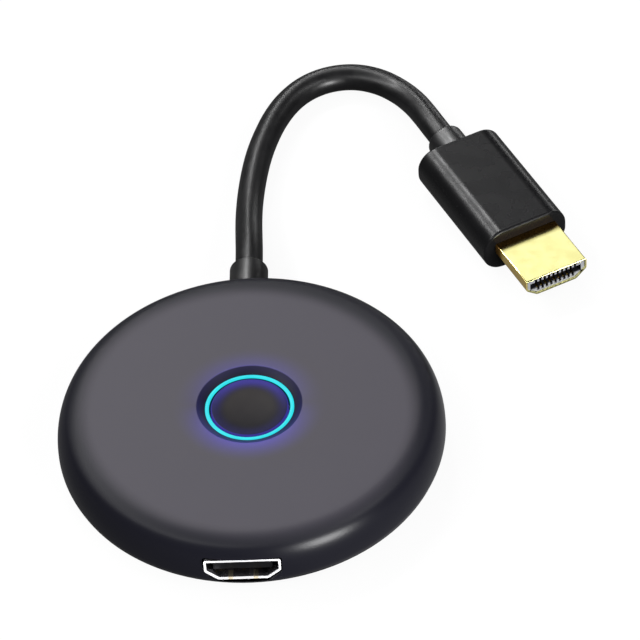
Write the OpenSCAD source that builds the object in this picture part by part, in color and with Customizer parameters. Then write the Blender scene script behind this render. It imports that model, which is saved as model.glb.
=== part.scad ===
/* [Case] */
// Diameter of the case at its widest line
body_d = 76; // [74:1:90]
// Height of the case, from the surface it stands on to its top face
body_h = 12.3; // [12.2:0.1:15]
// Diameter of the flat part of the top face
flat_d = 65.4; // [60:0.2:70]
// Diameter of the flat part of the underside
base_d = 67; // [62:0.5:70]
// Height of the widest line
equator_h = 4.6; // [4.2:0.1:5.6]
// Squareness of the upper edge, where 2 is an ellipse
edge_square = 2.2; // [2:0.1:3]
// Thickness of the top shell
wall = 1.5; // [1.2:0.1:1.7]
// Thickness of the base
base_t = 1.2; // [0.9:0.1:1.4]
// Width of the shadow line between the two shells
seam_w = 0.3; // [0.1:0.1:0.5]
// Diameter of each rubber foot
foot_d = 8; // [6:0.5:10]
// How far the feet lift the base
stand_h = 0.5; // [0.3:0.1:0.8]
// How far the socket and the cable lie to the left of the centre
side_shift = 1.1; // [0:0.1:2]
// Number of air slots in the base
vent_count = 16; // [8:2:20]

/* [Button and light ring] */
// Diameter of the dish round the button, at the top face
dish_d = 20.6; // [20:0.1:24]
// Depth of the dish
dish_h = 0.9; // [0.8:0.05:1.4]
// Outer diameter of the light ring where it shows
ring_d = 17.3; // [16.5:0.1:18]
// Width of the light ring where it shows
ring_w = 0.62; // [0.6:0.02:1]
// Diameter of the button
cap_d = 15.2; // [14:0.1:15.5]
// Depth of the finger hollow in the button
cap_hollow = 0.3; // [0.1:0.05:0.5]
// Travel of the button
button_travel = 0.4; // [0.2:0.05:0.5]
// Number of lamps under the light ring
led_count = 8; // [4:1:12]

/* [Circuit board] */
// Thickness of the board
board_t = 1; // [0.8:0.1:1.2]
// Air under the board
board_gap = 0.7; // [0.5:0.1:1]
// Diameter of the case screws
screw_d = 2; // [1.6:0.1:2.3]
// Side of the processor
processor_w = 12; // [9:0.5:13]
// Side of the heat sink
sink_w = 15; // [12:0.5:16]
// Number of fins on the heat sink
fin_count = 6; // [3:1:8]
// Length of the radio module
radio_l = 14; // [12:0.5:15]

/* [Video socket] */
// Width of the mouth of the video socket
socket_w = 14; // [13.9:0.05:14.2]
// Height of the mouth of the video socket
socket_h = 4.55; // [4.5:0.05:4.7]
// Length of the socket's metal shell
socket_l = 11.5; // [10.5:0.5:12.5]
// Sheet thickness of the metal shells
sheet = 0.3; // [0.2:0.05:0.35]

/* [Power inlet] */
// Width of the mouth of the power inlet
inlet_w = 8.34; // [8.3:0.02:8.4]
// Height of the mouth of the power inlet
inlet_h = 2.56; // [2.52:0.02:2.62]
// Length of the inlet's metal shell
inlet_l = 7.4; // [6.5:0.1:8]
// Angle of the inlet from the cable, round the case
inlet_turn = 33; // [28:1:38]

/* [Cable] */
// Diameter of the cable
cable_d = 5.6; // [5:0.1:5.8]
// Diameter of the two cable collars
collar_d = 7.8; // [7.4:0.1:8]
// Length of the collar outside the case
collar_l = 5.4; // [4:0.2:7]

/* [Plug] */
// Length of the plug's grip
grip_l = 29; // [28:0.5:36]
// Width of the plug's grip
grip_w = 19; // [18.5:0.5:22]
// Height of the plug's grip
grip_h = 10; // [9.8:0.2:13]
// Corner radius of the plug's grip
grip_r = 4.4; // [3:0.1:4.8]
// Width of the plug's metal shell
plug_w = 13.9; // [13.8:0.02:13.95]
// Height of the plug's metal shell
plug_h = 4.45; // [4.4:0.01:4.5]
// Length of metal shell outside the grip
plug_l = 12.8; // [11.5:0.1:13]

/* [Hidden] */
$fn = 64;

// Clearances and the overrun of every cut
slip = 0.05;
gap = 0.1;
air = 0.25;
cut = 0.6;

// Heights of the stack, from the surface that the feet stand on
foot_sink = 0.5;
floor_z = stand_h + base_t;
board_z = floor_z + board_gap;
deck_z = board_z + board_t;
ceiling_z = body_h - wall;
seam_rise = 1;
seam_z = floor_z + seam_rise;

// Radii of the case
body_r = body_d / 2;
flat_r = flat_d / 2;
base_r = base_d / 2;
inner_r = body_r - wall;
lip_t = 1;
lip_h = 1.4;
lip_r = inner_r - gap;
board_margin = 2;
board_r = lip_r - lip_t - board_margin;
arc_steps = 12;

// Screw bosses, feet and air slots
boss_d = 5;
boss_inset = 1.5;
boss_r = board_r - boss_d / 2 - boss_inset;
boss_turns = [30, 150, 210, 330];
screw_head_d = 1.8 * screw_d;
screw_head_t = 0.7;
screw_sink = 0.8;
screw_l = 6.5;
foot_turns = [0, 90, 180, 270];
foot_place_share = 0.78;
foot_bevel = 0.2;
vent_in_share = 0.3;
vent_out_share = 0.52;
vent_w = 1.6;

// Dish, light ring, baffle and button
ring_r = ring_d / 2;
ring_in_r = ring_r - ring_w;
ring_z = body_h - dish_h;
hub_t = 1.35;
hub_z = ring_z - hub_t;
hub_r = dish_d / 2 + wall;
hole_r = ring_r + gap;
ring_flange_t = 1.3;
ring_flange_w = 1.55;
ring_flange_z = hub_z - ring_flange_t;
ring_flange_r = ring_r + ring_flange_w;
baffle_wall = 1.4;
baffle_r = ring_flange_r + ring_w / 2;
baffle_in_r = baffle_r - baffle_wall;
baffle_core_t = 0.6;
baffle_web_t = 1;
led_l = 1.6;
led_w = 0.8;
led_t = 0.6;
led_r = (baffle_in_r + ring_in_r) / 2;
cap_r = cap_d / 2;
cap_t = 1.2;
cap_bevel = 0.25;
cap_skirt_t = 0.6;
cap_rim_w = 0.7;
tab_t = 0.8;
tab_w = 3;
tab_reach = 1.1;
tab_count = 3;
tab_z = ring_flange_z - gap - tab_t;
stem_d = 3.2;
baffle_core_r = cap_r - gap;
baffle_core_top = tab_z - button_travel - air;

// Tactile switch under the button
switch_w = 6.2;
switch_h = 3;
switch_bore_d = 3.5;
switch_floor_t = 0.6;
switch_cover_t = 0.5;
switch_room_d = 5.2;
switch_room_h = switch_h - switch_floor_t - switch_cover_t;
plunger_rise = 1;
plunger_top_z = deck_z + switch_h + plunger_rise;
dome_d = 4.6;
dome_h = 0.8;
dome_t = 0.12;
leg_w = 0.8;
leg_l = 1;
leg_t = 0.2;
leg_y = 2.2;

// Chips and parts: some stand beside the baffle, the rest at shares of the board's radius
chip_t = 1.2;
pad_t = 0.5;
sink_base_t = 1.2;
sink_headroom = 0.8;
fin_t = 1;
chip_margin = 1.6;
processor_y_share = -0.02;
memory_w = 8;
memory_l = 10.5;
memory_t = 1;
memory_margin = 0.6;
memory_setback = 0.9;
flash_size = [5, 4, 1.6];
flash_shares = [0.42, 0.4];
video_w = 7;
video_t = 0.9;
video_shares = [0.39, -0.51];
radio_w = 13;
radio_t = 0.8;
radio_y_share = -0.04;
shield_h = 1.9;
shield_margin = 1;
shield_strip = 3.6;
crystal_size = [3.2, 2.5, 0.8];
crystal_shares = [[0.68, 0.26], [-0.42, -0.84]];
coil_w = 4;
coil_t = 2;
coil_core_d = 2.6;
coil_core_t = 0.3;
coil_shares = [[0.39, 0.78], [0.4, 0.6], [0.57, 0.68]];
can_d = 5;
can_h = 5.2;
can_base_w = 5.4;
can_base_t = 0.9;
can_shares = [[0.63, -0.62], [0.4, -0.8]];
bead_size = [0.8, 1.6, 0.8];
bead_count = 7;
bead_pitch = 1.9;
bead_y_share = -0.44;
resistor_size = [0.8, 1.6, 0.45];
resistor_y_share = -0.53;

// Antenna, under the ceiling
film_side_shares = [0.21, 0.6];
film_t = 0.15;
film_size = [film_side_shares.x * board_r, film_side_shares.y * board_r, film_t];
film_shares = [0.57, -0.03];
mini_plug_d = 2.4;
mini_plug_h = 1.3;
mini_plug_inset = 1.8;
lead_d = 1;
lead_drop = 0.5;
lead_run = 2.6;

// Video socket
socket_out_w = socket_w + 2 * sheet;
socket_out_h = socket_h + 2 * sheet;
socket_inset = 0.8;
flare = 0.15;
flare_l = 0.5;
socket_y = -body_r + socket_inset;
socket_z = deck_z + socket_out_h / 2;
side_share = 0.56;
bottom_share = 0.65;
corner_share = 0.06;
tongue_w = 11.2;
tongue_t = 1.9;
tongue_inset = 1.3;
tongue_back = 2;
pin_pitch = 1;
pin_w = 0.45;
pin_t = 0.12;
pin_rows = [10, 9];
tail_l = 1.2;
tail_t = 0.2;
spring_l = 5;
spring_w = 1.5;
spring_t = 0.2;
spring_tilt = 5;
spring_inset = 1.2;
spring_x = 2.9;
anchor_w = 1.2;
anchor_inset = 3;

// Power inlet
inlet_out_w = inlet_w + 2 * sheet;
inlet_out_h = inlet_h + 2 * sheet;
inlet_inset = 0.6;
inlet_y = body_r - inlet_inset;
inlet_z = deck_z + inlet_out_h / 2;
blade_w = 6.7;
blade_t = 0.7;
blade_inset = 1;
blade_back = 1.5;

// Gland, clamp and the wires inside the case
gland_share = 0.4725;
collar_r = collar_d / 2;
cable_r = cable_d / 2;
cable_z = floor_z + gland_share * (ceiling_z - floor_z);
gland_end_y = body_r + collar_l;
collar_bevel = 0.5;
flange_w = 11;
flange_t = 1.5;
flange_trim = 0.2;
flange_y = inner_r - lip_t - flange_t - 4 * gap;
block_w = 14;
block_t = 1.6;
clamp_w = 15;
clamp_l = 4;
clamp_t_share = 0.42;
clamp_t = clamp_t_share * (ceiling_z - cable_z);
arch_share = 0.55;
clamp_arch = arch_share * (ceiling_z - cable_z - cable_r);
clamp_setback = 6.2;
clamp_y = flange_y - clamp_setback - slip;
clamp_screw_d = 1.9;
clamp_screw_x = 5.7;
clamp_head_d = 3.2;
clamp_head_t = 1.1;
clamp_screw_l = 5;
cable_tail = 0.6;
cable_end_y = clamp_y - cable_tail;
notch_w = clamp_w + 6 * air;
notch_y = cable_end_y - air;
wire_d = 0.9;
wire_rows = 2;
wire_columns = 4;
wire_pitch = 1.1;
wire_run = 5;
header_size = [14, 4, 4.2];
header_pitch = 3;
header_row_pitch = 1.8;
header_y = cable_end_y - wire_run - header_size.y;

// Places of the chips beside the baffle
processor_at = [-(baffle_r + chip_margin + sink_w / 2), processor_y_share * board_r];
memory_at = [
    [
        -(side_shift + socket_out_w / 2 + memory_margin + memory_w / 2),
        processor_at.y - processor_w / 2 - memory_setback - memory_l / 2
    ],
    [
        -(side_shift + header_size.x / 2 + memory_margin + memory_w / 2),
        processor_at.y + processor_w / 2 + memory_setback + memory_l / 2
    ]
];
radio_at = [baffle_r + chip_margin + radio_l / 2, radio_y_share * board_r];

// Centre line of the free cable, from the gland to the plug's collar, chosen by hand
route = [
    [-1.1, 43.4, 6], [-1.1, 48, 6], [-1.3, 53.5, 5.3], [-1.5, 59, 4.2], [-1.5, 64.5, 3.3],
    [-1.2, 70, 2.9], [-0.6, 75.5, 2.9], [0.3, 81, 2.9], [1.7, 86.4, 2.9], [3.5, 91.7, 2.9],
    [6.1, 96.8, 2.9], [9.8, 101.1, 2.9], [14.7, 103.8, 2.9], [20.4, 104.4, 2.9], [25.8, 102.5, 2.9],
    [30.1, 98.9, 3], [33.2, 94.3, 3.7], [35.4, 89.35, 4.6], [37.5, 84.63, 5], [39.28, 81.18, 5]
];
cord_sides = 12;
wire_sides = 6;

// Plug, whose X axis runs from the collar's free end to the tip
plug_collar_l = 5.8;
collar_stub_l = 2.5;
collar_stub_d = 7;
plug_turn = -62.7;
plug_at = [route[len(route) - 1].x, route[len(route) - 1].y, grip_h / 2];
grip_x = plug_collar_l;
grip_end_x = grip_x + grip_l;
tip_x = grip_end_x + plug_l;
grip_edge = 0.5;
grip_steps = 4;
shell_hold_l = 6;
shell_x = grip_end_x - shell_hold_l;
insulator_back = 1;
insulator_inset = 0.4;
insulator_x = shell_x - insulator_back;
slot_w = 11.7;
slot_h = 1.7;
slot_l = 9.5;
groove_w = 0.55;
groove_h = 0.7;
contact_inset = 0.7;
contact_h = 0.3;
plug_cable_l = 13.5;
ferrule_w = 13.2;
ferrule_h = 6.6;
ferrule_back = 1.8;
ferrule_x = plug_cable_l + ferrule_back;
crimp_l = 3;
crimp_r = cable_r + slip + sheet;
strap_l = ferrule_x - plug_cable_l + crimp_l + sheet;
room_wall = 0.3;
plug_wire_pitch = 2.4;
plug_row_pitch = 1.6;

// Shapes that several pieces share

// Points of an ellipse's arc, from one angle to another
function arc(cx, cy, rx, ry, from, to, steps = arc_steps) = [
    for (i = [0:steps])
        let (a = from + (to - from) * i / steps)
        [cx + rx * cos(a), cy + ry * sin(a)]
];

// Points of a quarter of a rounded square edge, from its side to its top
function edge_arc(cx, cy, rx, ry, squareness) = [
    for (i = [0:arc_steps])
        let (a = 90 * i / arc_steps)
        [cx + rx * pow(cos(a), 2 / squareness), cy + ry * pow(sin(a), 2 / squareness)]
];

// Outline of the video connector: a wide top, upright sides and a narrower bottom
function video_outline(w, h) =
    let (c = h * corner_share, s = h * (side_share - 1 / 2))
    [
        [-w / 2 + c, h / 2], [-w / 2, h / 2 - c], [-w / 2, -s], [-w / 2 * bottom_share, -h / 2],
        [w / 2 * bottom_share, -h / 2], [w / 2, -s], [w / 2, h / 2 - c], [w / 2 - c, h / 2]
    ];

// Outline of a rectangle with round corners, turning from +X to +Y
function rounded_outline(w, h, r, steps = 6) = [
    for (q = [0:3])
        let (sx = (q == 0 || q == 3) ? 1 : -1, sy = q < 2 ? 1 : -1)
        each arc(sx * (w / 2 - r), sy * (h / 2 - r), r, r, 90 * q, 90 * q + 90, steps)
];

function unit(v) = v / norm(v);

function direction(path, i) =
    i == 0 ? unit(path[1] - path[0])
    : i == len(path) - 1 ? unit(path[i] - path[i - 1])
    : unit(unit(path[i + 1] - path[i]) + unit(path[i] - path[i - 1]));

// An outline set square to a direction, at a point
function set_square(outline, at, along) =
    let (side = unit(cross(along, [0, 0, 1])), up = cross(side, along))
    [for (q = outline) at + q.x * side + q.y * up];

// A closed skin over a row of outlines that have as many points each
module skin(rings) {
    n = len(rings[0]);
    last = len(rings) - 1;
    sides = [
        for (i = [0:last - 1], k = [0:n - 1])
            let (a = i * n + k, b = i * n + (k + 1) % n)
            each [[a, b, b + n], [a, b + n, a + n]]
    ];
    caps = [for (k = [1:n - 2]) each [[0, k + 1, k], [last * n, last * n + k, last * n + k + 1]]];
    polyhedron([for (r = rings) each r], concat(sides, caps));
}

// A round tube or wire along a path
module wire(path, d, sides) {
    circle_points = [for (k = [0:sides - 1]) d / 2 * [cos(360 * k / sides), sin(360 * k / sides)]];
    skin([for (i = [0:len(path) - 1]) set_square(circle_points, path[i], direction(path, i))]);
}

// A path between two points that leaves and arrives along one axis
function bend(from, to, lean, steps = 6) = [
    for (i = [0:steps])
        let (t = i / steps, s = t * t * (3 - 2 * t))
        [
            for (k = [0:2])
                lean[k] != 0 ? from[k] + (to[k] - from[k]) * t : from[k] + (to[k] - from[k]) * s
        ]
];

module block(size) translate([-size.x / 2, -size.y / 2, 0]) cube(size);

module on_deck(at) translate([at.x, at.y, deck_z]) children();

module on_board(shares) on_deck(board_r * shares) children();

module at_turns(turns, r) for (a = turns) rotate([0, 0, a]) translate([r, 0, 0]) children();

// A prism along +Y whose outline stands in the XZ plane
module along_y(y, l) translate([0, y + l, 0]) rotate([90, 0, 0]) linear_extrude(l) children();

// A cylinder along +Y
module rod_y(r, y, l, z) translate([0, y, z]) rotate([-90, 0, 0]) cylinder(r = r, h = l);

// A prism along +X of the plug whose outline stands in the YZ plane
module along_x(x, l) translate([x, 0, 0]) rotate([90, 0, 90]) linear_extrude(l) children();

module rod_x(r, x, l) translate([x, 0, 0]) rotate([0, 90, 0]) cylinder(r = r, h = l);

module slot_outline(w, h) {
    square([w - h, h], center = true);
    for (s = [-1, 1]) translate([s * (w - h) / 2, 0]) circle(d = h);
}

module on_plug() translate(plug_at) rotate([0, 0, plug_turn]) children();

// Place of everything in line with the socket and the cable
module on_line() translate([-side_shift, 0, 0]) children();

module round_inlet() rotate([0, 0, inlet_turn]) children();

// Case

// Angle on the lower arc at which the two shells meet
seam_turn = -asin((equator_h - seam_z) / (equator_h - stand_h));
seam_outer_r = base_r + (body_r - base_r) * cos(seam_turn);

lower_arc = arc(base_r, equator_h, body_r - base_r, equator_h - stand_h, -90, 0);
upper_arc = edge_arc(flat_r, equator_h, body_r - flat_r, body_h - equator_h, edge_square);
inner_arc = edge_arc(flat_r, equator_h, inner_r - flat_r, ceiling_z - equator_h, edge_square);

// The whole case as one solid lump, for trimming pieces to its surface
module case_lump() rotate_extrude() polygon(concat([[0, stand_h]], lower_arc, upper_arc, [[0, body_h]]));

// The room inside the top shell, grown into its wall
module room_lump(grow) {
    rotate_extrude() polygon(concat(
        [[0, seam_z], [inner_r, seam_z]],
        edge_arc(flat_r, equator_h, inner_r - flat_r + grow, ceiling_z - equator_h + grow, edge_square),
        [[0, ceiling_z + grow]]
    ));
}

module opening_at_socket(grow, rise = 0) {
    on_line() translate([0, 0, socket_z]) along_y(-body_r - cut, 2 * cut + wall + lip_t + socket_inset) {
        polygon(video_outline(socket_out_w + 2 * grow, socket_out_h + 2 * grow));
        if (rise > 0)
            translate([-socket_out_w / 2 - grow, seam_z - socket_z - rise])
                square([socket_out_w + 2 * grow, socket_z - seam_z + rise]);
    }
}

module opening_at_inlet(grow, rise = 0) {
    round_inlet() translate([0, 0, inlet_z])
        along_y(body_r - wall - lip_t - inlet_inset - cut, wall + lip_t + inlet_inset + 2 * cut) {
            slot_outline(inlet_out_w + 2 * grow, inlet_out_h + 2 * grow);
            if (rise > 0)
                translate([-inlet_out_w / 2 - grow, seam_z - inlet_z - rise])
                    square([inlet_out_w + 2 * grow, inlet_z - seam_z + rise]);
        }
}

module opening_at_gland(grow, rise = 0) {
    on_line() {
        rod_y(collar_r + grow, flange_y + flange_t, body_r, cable_z);
        if (rise > 0)
            translate([-collar_r - grow, flange_y + flange_t, seam_z - rise])
                cube([2 * (collar_r + grow), body_r, cable_z - seam_z + rise]);
    }
}

module gland_flange(grow) {
    on_line() translate([0, flange_y - grow, cable_z - collar_r - flange_trim - grow])
        translate([-flange_w / 2 - grow, 0, 0])
            cube([flange_w + 2 * grow, flange_t + 2 * grow, 2 * (collar_r + flange_trim + grow)]);
}

// Half of the pocket that holds the gland's flange, from one height to another
module gland_pocket(from_z, to_z) {
    difference() {
        intersection() {
            on_line() translate([-block_w / 2, flange_y - block_t, from_z])
                cube([block_w, body_r, to_z - from_z]);
            children();
        }
        on_line() rod_y(cable_r + slip, flange_y - block_t - cut, block_t + flange_t + cut, cable_z);
    }
}

module top_shell() {
    color([0.09, 0.09, 0.1]) difference() {
        union() {
            rotate_extrude() polygon(concat(
                [[inner_r, seam_z], [seam_outer_r - seam_w / 2, seam_z]],
                [[seam_outer_r, seam_z + seam_w / 2]],
                [for (p = lower_arc) if (p.y > seam_z + seam_w) p],
                upper_arc,
                [[0, body_h], [0, ceiling_z]],
                [for (i = [arc_steps:-1:0]) inner_arc[i]]
            ));
            translate([0, 0, hub_z]) cylinder(r = hub_r, h = body_h - hub_z - wall / 2);
            at_turns(boss_turns, boss_r)
                translate([0, 0, deck_z]) cylinder(d = boss_d, h = ceiling_z + wall / 2 - deck_z);
            gland_pocket(cable_z, ceiling_z + wall / 2) room_lump(wall / 2);
        }
        // dish with sloping sides, and the hole for the light ring
        translate([0, 0, ring_z]) cylinder(r1 = hole_r, r2 = dish_d / 2, h = dish_h);
        translate([0, 0, body_h]) cylinder(r = dish_d / 2, h = cut);
        translate([0, 0, hub_z - cut]) cylinder(r = hole_r, h = hub_t + 2 * cut);
        at_turns(boss_turns, boss_r)
            translate([0, 0, deck_z - cut]) cylinder(d = screw_d + 2 * slip, h = screw_l + cut);
        opening_at_socket(air, cut);
        opening_at_inlet(air, cut);
        opening_at_gland(slip, cut);
        gland_flange(slip);
    }
}

// Part of the base that closes the lower half of an opening, out to the case's surface
module sill(middle_x, w, top_z) {
    intersection() {
        case_lump();
        translate([middle_x - w / 2, lip_r - lip_t, seam_z]) cube([w, body_r, top_z - seam_z]);
    }
}

module bottom_shell() {
    color([0.08, 0.08, 0.09]) difference() {
        union() {
            rotate_extrude() polygon(concat(
                [[0, stand_h]],
                [for (p = lower_arc) if (p.y < seam_z - seam_w) p],
                [[seam_outer_r, seam_z - seam_w / 2], [seam_outer_r - seam_w / 2, seam_z]],
                [[lip_r, seam_z], [lip_r, seam_z + lip_h], [lip_r - lip_t, seam_z + lip_h]],
                [[lip_r - lip_t, floor_z], [0, floor_z]]
            ));
            at_turns(boss_turns, boss_r)
                translate([0, 0, floor_z - base_t / 2]) cylinder(d = boss_d, h = board_gap + base_t / 2);
            rotate([0, 0, 180]) sill(side_shift, socket_out_w + 2 * (air - gap), socket_z);
            round_inlet() sill(0, inlet_out_w + 2 * (air - gap), inlet_z);
            sill(-side_shift, 2 * collar_r, cable_z);
            gland_pocket(floor_z - base_t / 2, cable_z) cylinder(r = lip_r, h = body_h);
            on_line() translate([-clamp_w / 2, clamp_y, floor_z - base_t / 2])
                cube([clamp_w, clamp_l, cable_z - floor_z + base_t / 2]);
        }
        opening_at_socket(air);
        opening_at_inlet(air);
        opening_at_gland(slip);
        gland_flange(slip);
        on_line() rod_y(cable_r + slip, clamp_y - cut, clamp_l + 2 * cut, cable_z);
        on_line() for (s = [-1, 1])
            translate([s * clamp_screw_x, clamp_y + clamp_l / 2, cable_z + clamp_t - clamp_screw_l - gap])
                cylinder(d = clamp_screw_d + 2 * slip, h = clamp_screw_l);
        at_turns(boss_turns, boss_r) {
            translate([0, 0, stand_h - cut])
                cylinder(d = screw_d + 4 * slip, h = board_z - stand_h + 2 * cut);
            translate([0, 0, stand_h - cut]) cylinder(d = screw_head_d + 2 * gap, h = screw_sink + cut);
        }
        at_turns(foot_turns, foot_place_share * board_r)
            translate([0, 0, stand_h - cut]) cylinder(d = foot_d + 2 * slip, h = foot_sink + cut);
        for (i = [0:vent_count - 1])
            rotate([0, 0, 360 * (i + 1 / 2) / vent_count])
                translate([vent_in_share * base_r, -vent_w / 2, stand_h - cut])
                    cube([(vent_out_share - vent_in_share) * base_r, vent_w, base_t + 2 * cut]);
    }
}

module rubber_feet() {
    color([0.13, 0.13, 0.14]) at_turns(foot_turns, foot_place_share * board_r) {
        cylinder(d1 = foot_d - 2 * foot_bevel, d2 = foot_d, h = foot_bevel);
        translate([0, 0, foot_bevel]) cylinder(d = foot_d, h = stand_h + foot_sink - foot_bevel);
    }
}

// A round-headed screw that points up, with its head's seat at zero
module screw(d, l, head_d, head_t) {
    difference() {
        translate([0, 0, -head_t]) cylinder(d = head_d, h = head_t);
        for (a = [0, 90])
            rotate([0, 0, a])
                translate([-head_d / 3, -head_t / 4, -head_t])
                    cube([head_d / 1.5, head_t / 2, head_t / 2]);
    }
    cylinder(d = d, h = l - d / 2);
    translate([0, 0, l - d / 2]) cylinder(d1 = d, d2 = d / 3, h = d / 2);
}

module case_screws() {
    color("silver") at_turns(boss_turns, boss_r)
        translate([0, 0, stand_h + screw_sink]) screw(screw_d, screw_l, screw_head_d, screw_head_t);
}

// Button, light ring and switch

module light_ring() {
    color([0.2, 0.9, 0.95]) difference() {
        union() {
            translate([0, 0, ring_flange_z]) cylinder(r = ring_flange_r, h = ring_flange_t);
            translate([0, 0, hub_z]) cylinder(r = ring_r, h = hub_t);
        }
        translate([0, 0, ring_flange_z - cut]) cylinder(r = ring_in_r, h = body_h);
    }
}

module light_baffle() {
    color("white") difference() {
        union() {
            difference() {
                translate([0, 0, deck_z]) cylinder(r = baffle_r, h = ring_flange_z - deck_z);
                translate([0, 0, deck_z - cut]) cylinder(r = baffle_in_r, h = body_h);
            }
            translate([0, 0, deck_z]) cylinder(r = baffle_in_r + cut, h = baffle_web_t);
            translate([0, 0, deck_z]) cylinder(r = baffle_core_r, h = baffle_core_top - deck_z);
        }
        translate([0, 0, deck_z - cut]) cylinder(r = baffle_core_r - baffle_core_t, h = body_h);
        at_leds() translate([0, 0, -cut]) block([led_w + 2 * air, led_l + 2 * air, baffle_web_t + 2 * cut]);
    }
}

module at_leds()
    for (i = [0:led_count - 1])
        rotate([0, 0, 360 * (i + 1 / 2) / led_count]) translate([led_r, 0, deck_z]) children();

module ring_leds() {
    color("gold") at_leds() {
        block([led_w, led_l, led_t / 2]);
        translate([0, 0, led_t / 2]) block([led_w, led_l / 2, led_t / 2]);
    }
}

module button_cap() {
    color([0.13, 0.13, 0.14]) {
        difference() {
            union() {
                translate([0, 0, tab_z]) cylinder(r = cap_r, h = ring_z - cap_bevel - tab_z);
                translate([0, 0, ring_z - cap_bevel])
                    cylinder(r1 = cap_r, r2 = cap_r - cap_bevel, h = cap_bevel);
            }
            translate([0, 0, tab_z - cut])
                cylinder(r = cap_r - cap_skirt_t, h = ring_z - cap_t - tab_z + cut);
            translate([0, 0, ring_z - cap_hollow])
                cylinder(r1 = cap_r / 2, r2 = cap_r - cap_rim_w, h = cap_hollow);
        }
        translate([0, 0, plunger_top_z]) cylinder(d = stem_d, h = ring_z - cap_t - plunger_top_z + cap_t / 2);
        for (i = [0:tab_count - 1])
            rotate([0, 0, 360 * i / tab_count])
                translate([cap_r - cap_skirt_t, -tab_w / 2, tab_z])
                    cube([cap_skirt_t + tab_reach, tab_w, tab_t]);
    }
}

module switch_body() {
    color([0.1, 0.1, 0.1]) translate([0, 0, deck_z]) difference() {
        block([switch_w, switch_w, switch_h]);
        translate([0, 0, switch_floor_t]) cylinder(d = switch_room_d, h = switch_room_h);
        translate([0, 0, switch_h - switch_cover_t - slip])
            cylinder(d = switch_bore_d, h = switch_cover_t + cut);
    }
}

module switch_terminals() {
    color("silver") for (sx = [-1, 1], sy = [-1, 1])
        translate([sx * (switch_w + leg_l) / 2, sy * leg_y, deck_z]) block([leg_l, leg_w, leg_t]);
}

module switch_plunger() {
    plunger_z = deck_z + switch_floor_t + dome_h + slip;
    color([0.2, 0.2, 0.2]) {
        translate([0, 0, plunger_z])
            cylinder(d = switch_room_d - 4 * gap, h = switch_room_h - dome_h - 2 * slip);
        translate([0, 0, plunger_z]) cylinder(d = switch_bore_d - 2 * gap, h = plunger_top_z - plunger_z);
    }
}

// Spring disc that snaps as the plunger goes down
module switch_dome() {
    dome_z = deck_z + switch_floor_t;
    color("silver") rotate_extrude() polygon(concat(
        arc(0, dome_z, dome_d / 2, dome_h, 0, 90),
        arc(0, dome_z, dome_d / 2 - dome_t, dome_h - dome_t, 90, 0)
    ));
}

// Circuit board and what is on it

module main_board() {
    color([0.05, 0.3, 0.15]) difference() {
        translate([0, 0, board_z]) cylinder(r = board_r, h = board_t);
        at_turns(boss_turns, boss_r)
            translate([0, 0, board_z - cut]) cylinder(d = screw_d + 4 * slip, h = board_t + 2 * cut);
        on_line() translate([-notch_w / 2, notch_y, board_z - cut])
            cube([notch_w, board_r, board_t + 2 * cut]);
        at_anchors() block([sheet + 2 * gap, anchor_w + 2 * gap, 2 * (board_t + cut)]);
    }
}

module at_anchors()
    for (s = [-1, 1], y = [anchor_inset + anchor_w, socket_l - anchor_w])
        on_line() translate([s * (socket_out_w - sheet) / 2, socket_y + y, board_z - board_t]) children();

module processor() {
    color([0.12, 0.12, 0.13]) on_deck(processor_at) block([processor_w, processor_w, chip_t]);
}

module thermal_pad() {
    color([0.6, 0.65, 0.8]) on_deck(processor_at)
        translate([0, 0, chip_t]) block([processor_w, processor_w, pad_t]);
}

module heat_sink() {
    fin_h = ceiling_z - sink_headroom - deck_z - chip_t - pad_t - sink_base_t;
    color("silver") on_deck(processor_at) translate([0, 0, chip_t + pad_t]) {
        block([sink_w, sink_w, sink_base_t]);
        for (i = [0:fin_count - 1])
            translate([(sink_w - fin_t) * (i / (fin_count - 1) - 1 / 2), 0, sink_base_t / 2])
                block([fin_t, sink_w, fin_h + sink_base_t / 2]);
    }
}

module memory_chips() {
    color([0.1, 0.1, 0.11]) for (place = memory_at) on_deck(place) block([memory_w, memory_l, memory_t]);
}

module flash_chip() {
    color([0.12, 0.12, 0.13]) on_board(flash_shares) block(flash_size);
}

module video_chip() {
    color([0.1, 0.1, 0.11]) on_board(video_shares) block([video_w, video_w, video_t]);
}

module radio_board() {
    color([0.05, 0.25, 0.3]) on_deck(radio_at) block([radio_l, radio_w, radio_t]);
}

module radio_shield() {
    color("silver") on_deck(radio_at) translate([0, 0, radio_t]) difference() {
        shield_y = (shield_strip - shield_margin) / 2;
        shield_l = radio_w - shield_strip - shield_margin;
        translate([0, shield_y, 0]) block([radio_l - 2 * shield_margin, shield_l, shield_h]);
        translate([0, shield_y, -cut])
            block([radio_l - 2 * shield_margin - 2 * sheet, shield_l - 2 * sheet, shield_h + cut - sheet]);
    }
}

module crystals() {
    color("silver") for (s = crystal_shares) on_board(s) block(crystal_size);
}

module power_coils() {
    color([0.3, 0.3, 0.32]) for (s = coil_shares) on_board(s) difference() {
        block([coil_w, coil_w, coil_t]);
        translate([0, 0, coil_t - coil_core_t]) cylinder(d = coil_core_d, h = coil_core_t + cut);
    }
}

module capacitors() {
    color([0.75, 0.76, 0.78]) {
        for (s = can_shares) on_board(s) {
            block([can_base_w, can_base_w, can_base_t]);
            cylinder(d = can_d, h = can_h);
        }
        for (i = [0:bead_count - 1])
            on_board([0, bead_y_share])
                translate([bead_pitch * (i - (bead_count - 1) / 2), 0, 0]) block(bead_size);
    }
}

module chip_resistors() {
    color([0.1, 0.1, 0.1]) for (i = [0:bead_count - 1])
        on_board([0, resistor_y_share])
            translate([bead_pitch * (i - (bead_count - 1) / 2), 0, 0]) block(resistor_size);
}

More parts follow.
